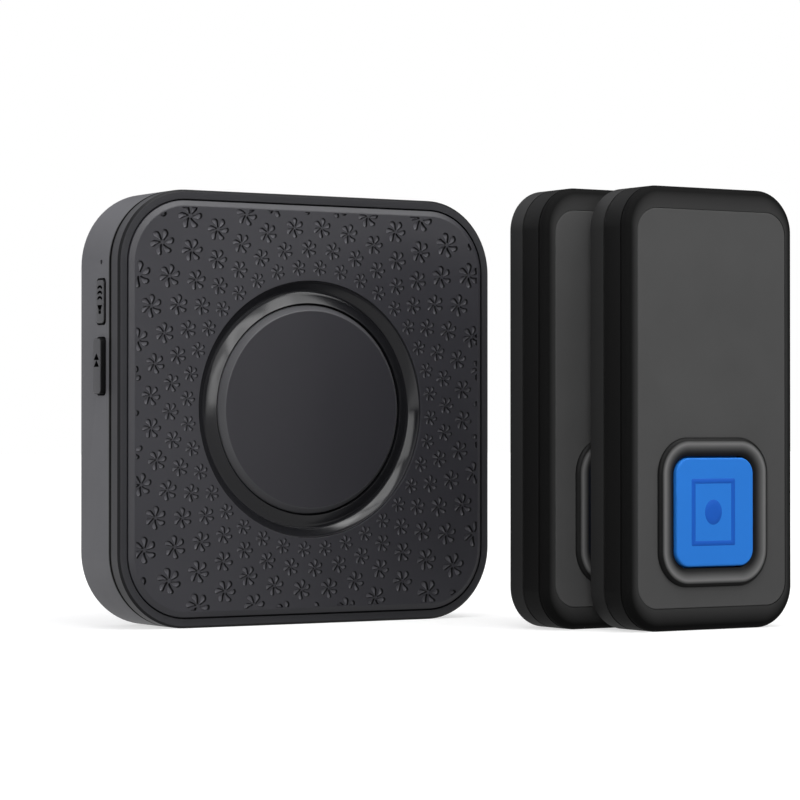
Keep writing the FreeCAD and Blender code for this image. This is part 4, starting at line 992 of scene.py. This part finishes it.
ICON_WIDTH, ICON_HEIGHT, ICON_LINE, ICON_CORNER = mm(11.1), mm(13.6), mm(1.0), mm(0.3)
ICON_LINE_EDGE = ICON_LINE * 0.1
ICON_CORNER_STEPS = 4
ICON_DOT_WIDTH, ICON_DOT_HEIGHT, ICON_DOT_STEPS = mm(4.3), mm(5.1), 40
ICON_DOT_EDGE, ICON_DOT_MIDDLE = 0.96, 0.5    # shares of its size
ICON_DOT_CROWN = 1.1                          # its middle's height, share of the edge's
ICON_RAISED = mm(0.045)
ICON_SHIFT = mm(0.5)          # the print sits a little to the left


def button_icon(unit, corner, body):
    """Upright frame with a dot in it, barely raised from the button."""
    middle = Vector((corner.x + TX_SIZE.x / 2 - ICON_SHIFT, corner.y - BUTTON_RISE,
                     corner.z + BUTTON_Z))
    rings = []
    for inset, y in ((0, ICON_RAISED), (0, 0), (ICON_LINE_EDGE, -ICON_RAISED),
                     (ICON_LINE - ICON_LINE_EDGE, -ICON_RAISED), (ICON_LINE, 0),
                     (ICON_LINE, ICON_RAISED)):
        half_x, half_z = ICON_WIDTH / 2 - inset, ICON_HEIGHT / 2 - inset
        rings.append(outline(middle.x - half_x, middle.x + half_x, middle.z - half_z,
                             middle.z + half_z, ICON_CORNER - inset, middle.y + y,
                             steps=ICON_CORNER_STEPS))
    piece(f"icon_frame_{unit}", hollow_sweep(rings), MATERIALS["icon"], body)
    rings = []
    for share, y in ((1, ICON_RAISED), (1, 0), (ICON_DOT_EDGE, -ICON_RAISED),
                     (ICON_DOT_MIDDLE, -ICON_RAISED * ICON_DOT_CROWN)):
        ring = circle(Vector((0, 0, 0)), share / 2, middle.y + y, steps=ICON_DOT_STEPS)
        rings.append([Vector((middle.x + p.x * ICON_DOT_WIDTH, p.y,
                              middle.z + p.z * ICON_DOT_HEIGHT)) for p in ring])
    piece(f"icon_dot_{unit}", solid_loft(rings), MATERIALS["icon"], body)


# Studio: floor, light and camera
# The floor glows like a lit backdrop, seen by the camera more so further away. What the
# objects get from it grows towards the back on the left.
FLOOR_HALF, FLOOR_CELLS = 4.0, 24
BACKDROP_GLOW, BACKDROP_REACH = (0.62, 1.05), (0.12, 0.7)
FLOOR_GLOW, FLOOR_GLOW_REACH = (0.42, 1.1), (0.04, 0.12)
BEHIND_LEFT = (-0.8, 0.6, 0)
WHITE = (1, 1, 1, 1)


def floor_paint():
    """White paint that stays white far from the lights."""
    material = plastic("floor_paint", (0.5, 0.5, 0.5), 0.7, wear=0.0, mottle=0.01,
                       specular=0.05)
    tree = material.node_tree
    shader = tree.nodes["Principled BSDF"]
    shader.inputs["Emission Color"].default_value = WHITE
    place = tree.nodes.new("ShaderNodeTexCoord").outputs["Object"]
    away = tree.nodes.new("ShaderNodeVectorMath")
    away.operation = "LENGTH"
    tree.links.new(place, away.inputs[0])
    glow = remapped(tree, away.outputs["Value"], BACKDROP_REACH, BACKDROP_GLOW)
    tree.links.new(glow, shader.inputs["Emission Strength"])
    faint = tree.nodes.new("ShaderNodeEmission")
    spread = remapped(tree, along(tree, place, BEHIND_LEFT), FLOOR_GLOW_REACH, FLOOR_GLOW)
    tree.links.new(spread, faint.inputs["Strength"])
    split_by_ray(tree, faint.outputs["Emission"], shader.outputs["BSDF"],
                 tree.nodes["Material Output"])
    return material


def split_by_ray(tree, lit, seen, output):
    """One shader for what the objects get and another for what the camera sees."""
    path, choice = tree.nodes.new("ShaderNodeLightPath"), tree.nodes.new("ShaderNodeMixShader")
    tree.links.new(path.outputs["Is Camera Ray"], choice.inputs["Fac"])
    tree.links.new(lit, choice.inputs[1])
    tree.links.new(seen, choice.inputs[2])
    tree.links.new(choice.outputs["Shader"], output.inputs["Surface"])


def floor():
    bm = bmesh.new()
    bmesh.ops.create_grid(bm, x_segments=FLOOR_CELLS, y_segments=FLOOR_CELLS, size=FLOOR_HALF)
    mesh = bpy.data.meshes.new("floor")
    bm.to_mesh(mesh)
    bm.free()
    obj = bpy.data.objects.new("floor", mesh)
    bpy.context.scene.collection.objects.link(obj)
    mesh.materials.append(floor_paint())


# Softboxes: compass angle from the front (to the right is positive), height angle,
# distance and side in metres, power in watts
SOFTBOXES = {
    "high_right": (49, 55, 0.8, 0.65, 3.3),
    "high_front": (8, 58, 0.8, 0.45, 0.75),
    "near_left": (-34, 50, 0.27, 0.14, 0.2),
    "mid_left": (-20, 28, 1.0, 0.45, 0.8),
    "far_left": (-43, 17, 0.8, 0.42, 1.3),
    "low_left": (-28, 6, 1.2, 0.45, 0.6),
    "mid_right": (38, 22, 0.9, 0.3, 1.15),
    "low_front": (12, 16, 1.2, 0.45, 0.25),
    "top": (-10, 85, 0.8, 0.5, 1.8),
}
AIM = Vector((0, 0, mm(45)))


def softbox(name, compass, height, distance, side, power):
    data = bpy.data.lights.new(name, "AREA")
    data.size = side
    data.energy = power
    obj = bpy.data.objects.new(name, data)
    compass, height = math.radians(compass), math.radians(height)
    toward = Vector((
        math.sin(compass) * math.cos(height), -math.cos(compass) * math.cos(height),
        math.sin(height),
    ))
    obj.location = AIM + toward * distance
    obj.rotation_euler = toward.to_track_quat("Z", "Y").to_euler()
    bpy.context.scene.collection.objects.link(obj)


BRIGHT_SIDE = (-0.55, 0.5, 0.67)       # where the pale room is brightest
ROOM_GLOW, ROOM_REACH = (0.02, 1.0), (0.4, 0.95)
ROOM_TINT = (0.97, 0.97, 1.0, 1)


def room():
    """White to the camera; to the objects a room that is bright behind on the left."""
    world = bpy.data.worlds.new("room")
    world.use_nodes = True
    tree = world.node_tree
    seen, lit = tree.nodes["Background"], tree.nodes.new("ShaderNodeBackground")
    seen.inputs["Color"].default_value = WHITE
    lit.inputs["Color"].default_value = ROOM_TINT
    place = tree.nodes.new("ShaderNodeTexCoord").outputs["Generated"]
    shade = remapped(tree, along(tree, place, BRIGHT_SIDE), ROOM_REACH, ROOM_GLOW)
    tree.links.new(shade, lit.inputs["Strength"])
    split_by_ray(tree, lit.outputs["Background"], seen.outputs["Background"],
                 tree.nodes["World Output"])
    bpy.context.scene.world = world


def studio():
    room()
    for name, settings in SOFTBOXES.items():
        softbox(name, *settings)


CAMERA_PLACE = (mm(-340.0), mm(-530.2), mm(40.65))
CAMERA_YAW, CAMERA_PITCH = -32.0, 0.565
CAMERA_FOCAL = 3044.0         # in pixels of the frame
FRAME_PIXELS = 800
SENSOR = 36.0
CLIP_START = 0.01


def camera():
    data = bpy.data.cameras.new("camera")
    data.sensor_width = SENSOR
    data.lens = CAMERA_FOCAL / FRAME_PIXELS * SENSOR
    data.clip_start = CLIP_START
    obj = bpy.data.objects.new("camera", data)
    obj.location = CAMERA_PLACE
    obj.rotation_euler = (math.radians(90 + CAMERA_PITCH), 0, math.radians(CAMERA_YAW))
    bpy.context.scene.collection.objects.link(obj)
    bpy.context.scene.camera = obj


def main():
    paint_nodes()
    pattern_panel()
    trim_ring()
    centre_disc()
    volume_icon(*side_key("volume"))
    melody_icon(*side_key("melody"))
    case_screws()
    for unit, corner in UNITS.items():
        case, push = f"transmitter_{unit}_case", f"transmitter_{unit}_push"
        front_cover(unit, corner, case)
        face_panel(unit, corner, case)
        button_surround(unit, corner, case)
        push_button(unit, corner, push)
        button_icon(unit, corner, push)
    floor()
    studio()
    camera()
    bpy.context.scene.view_settings.view_transform = "Standard"


main()
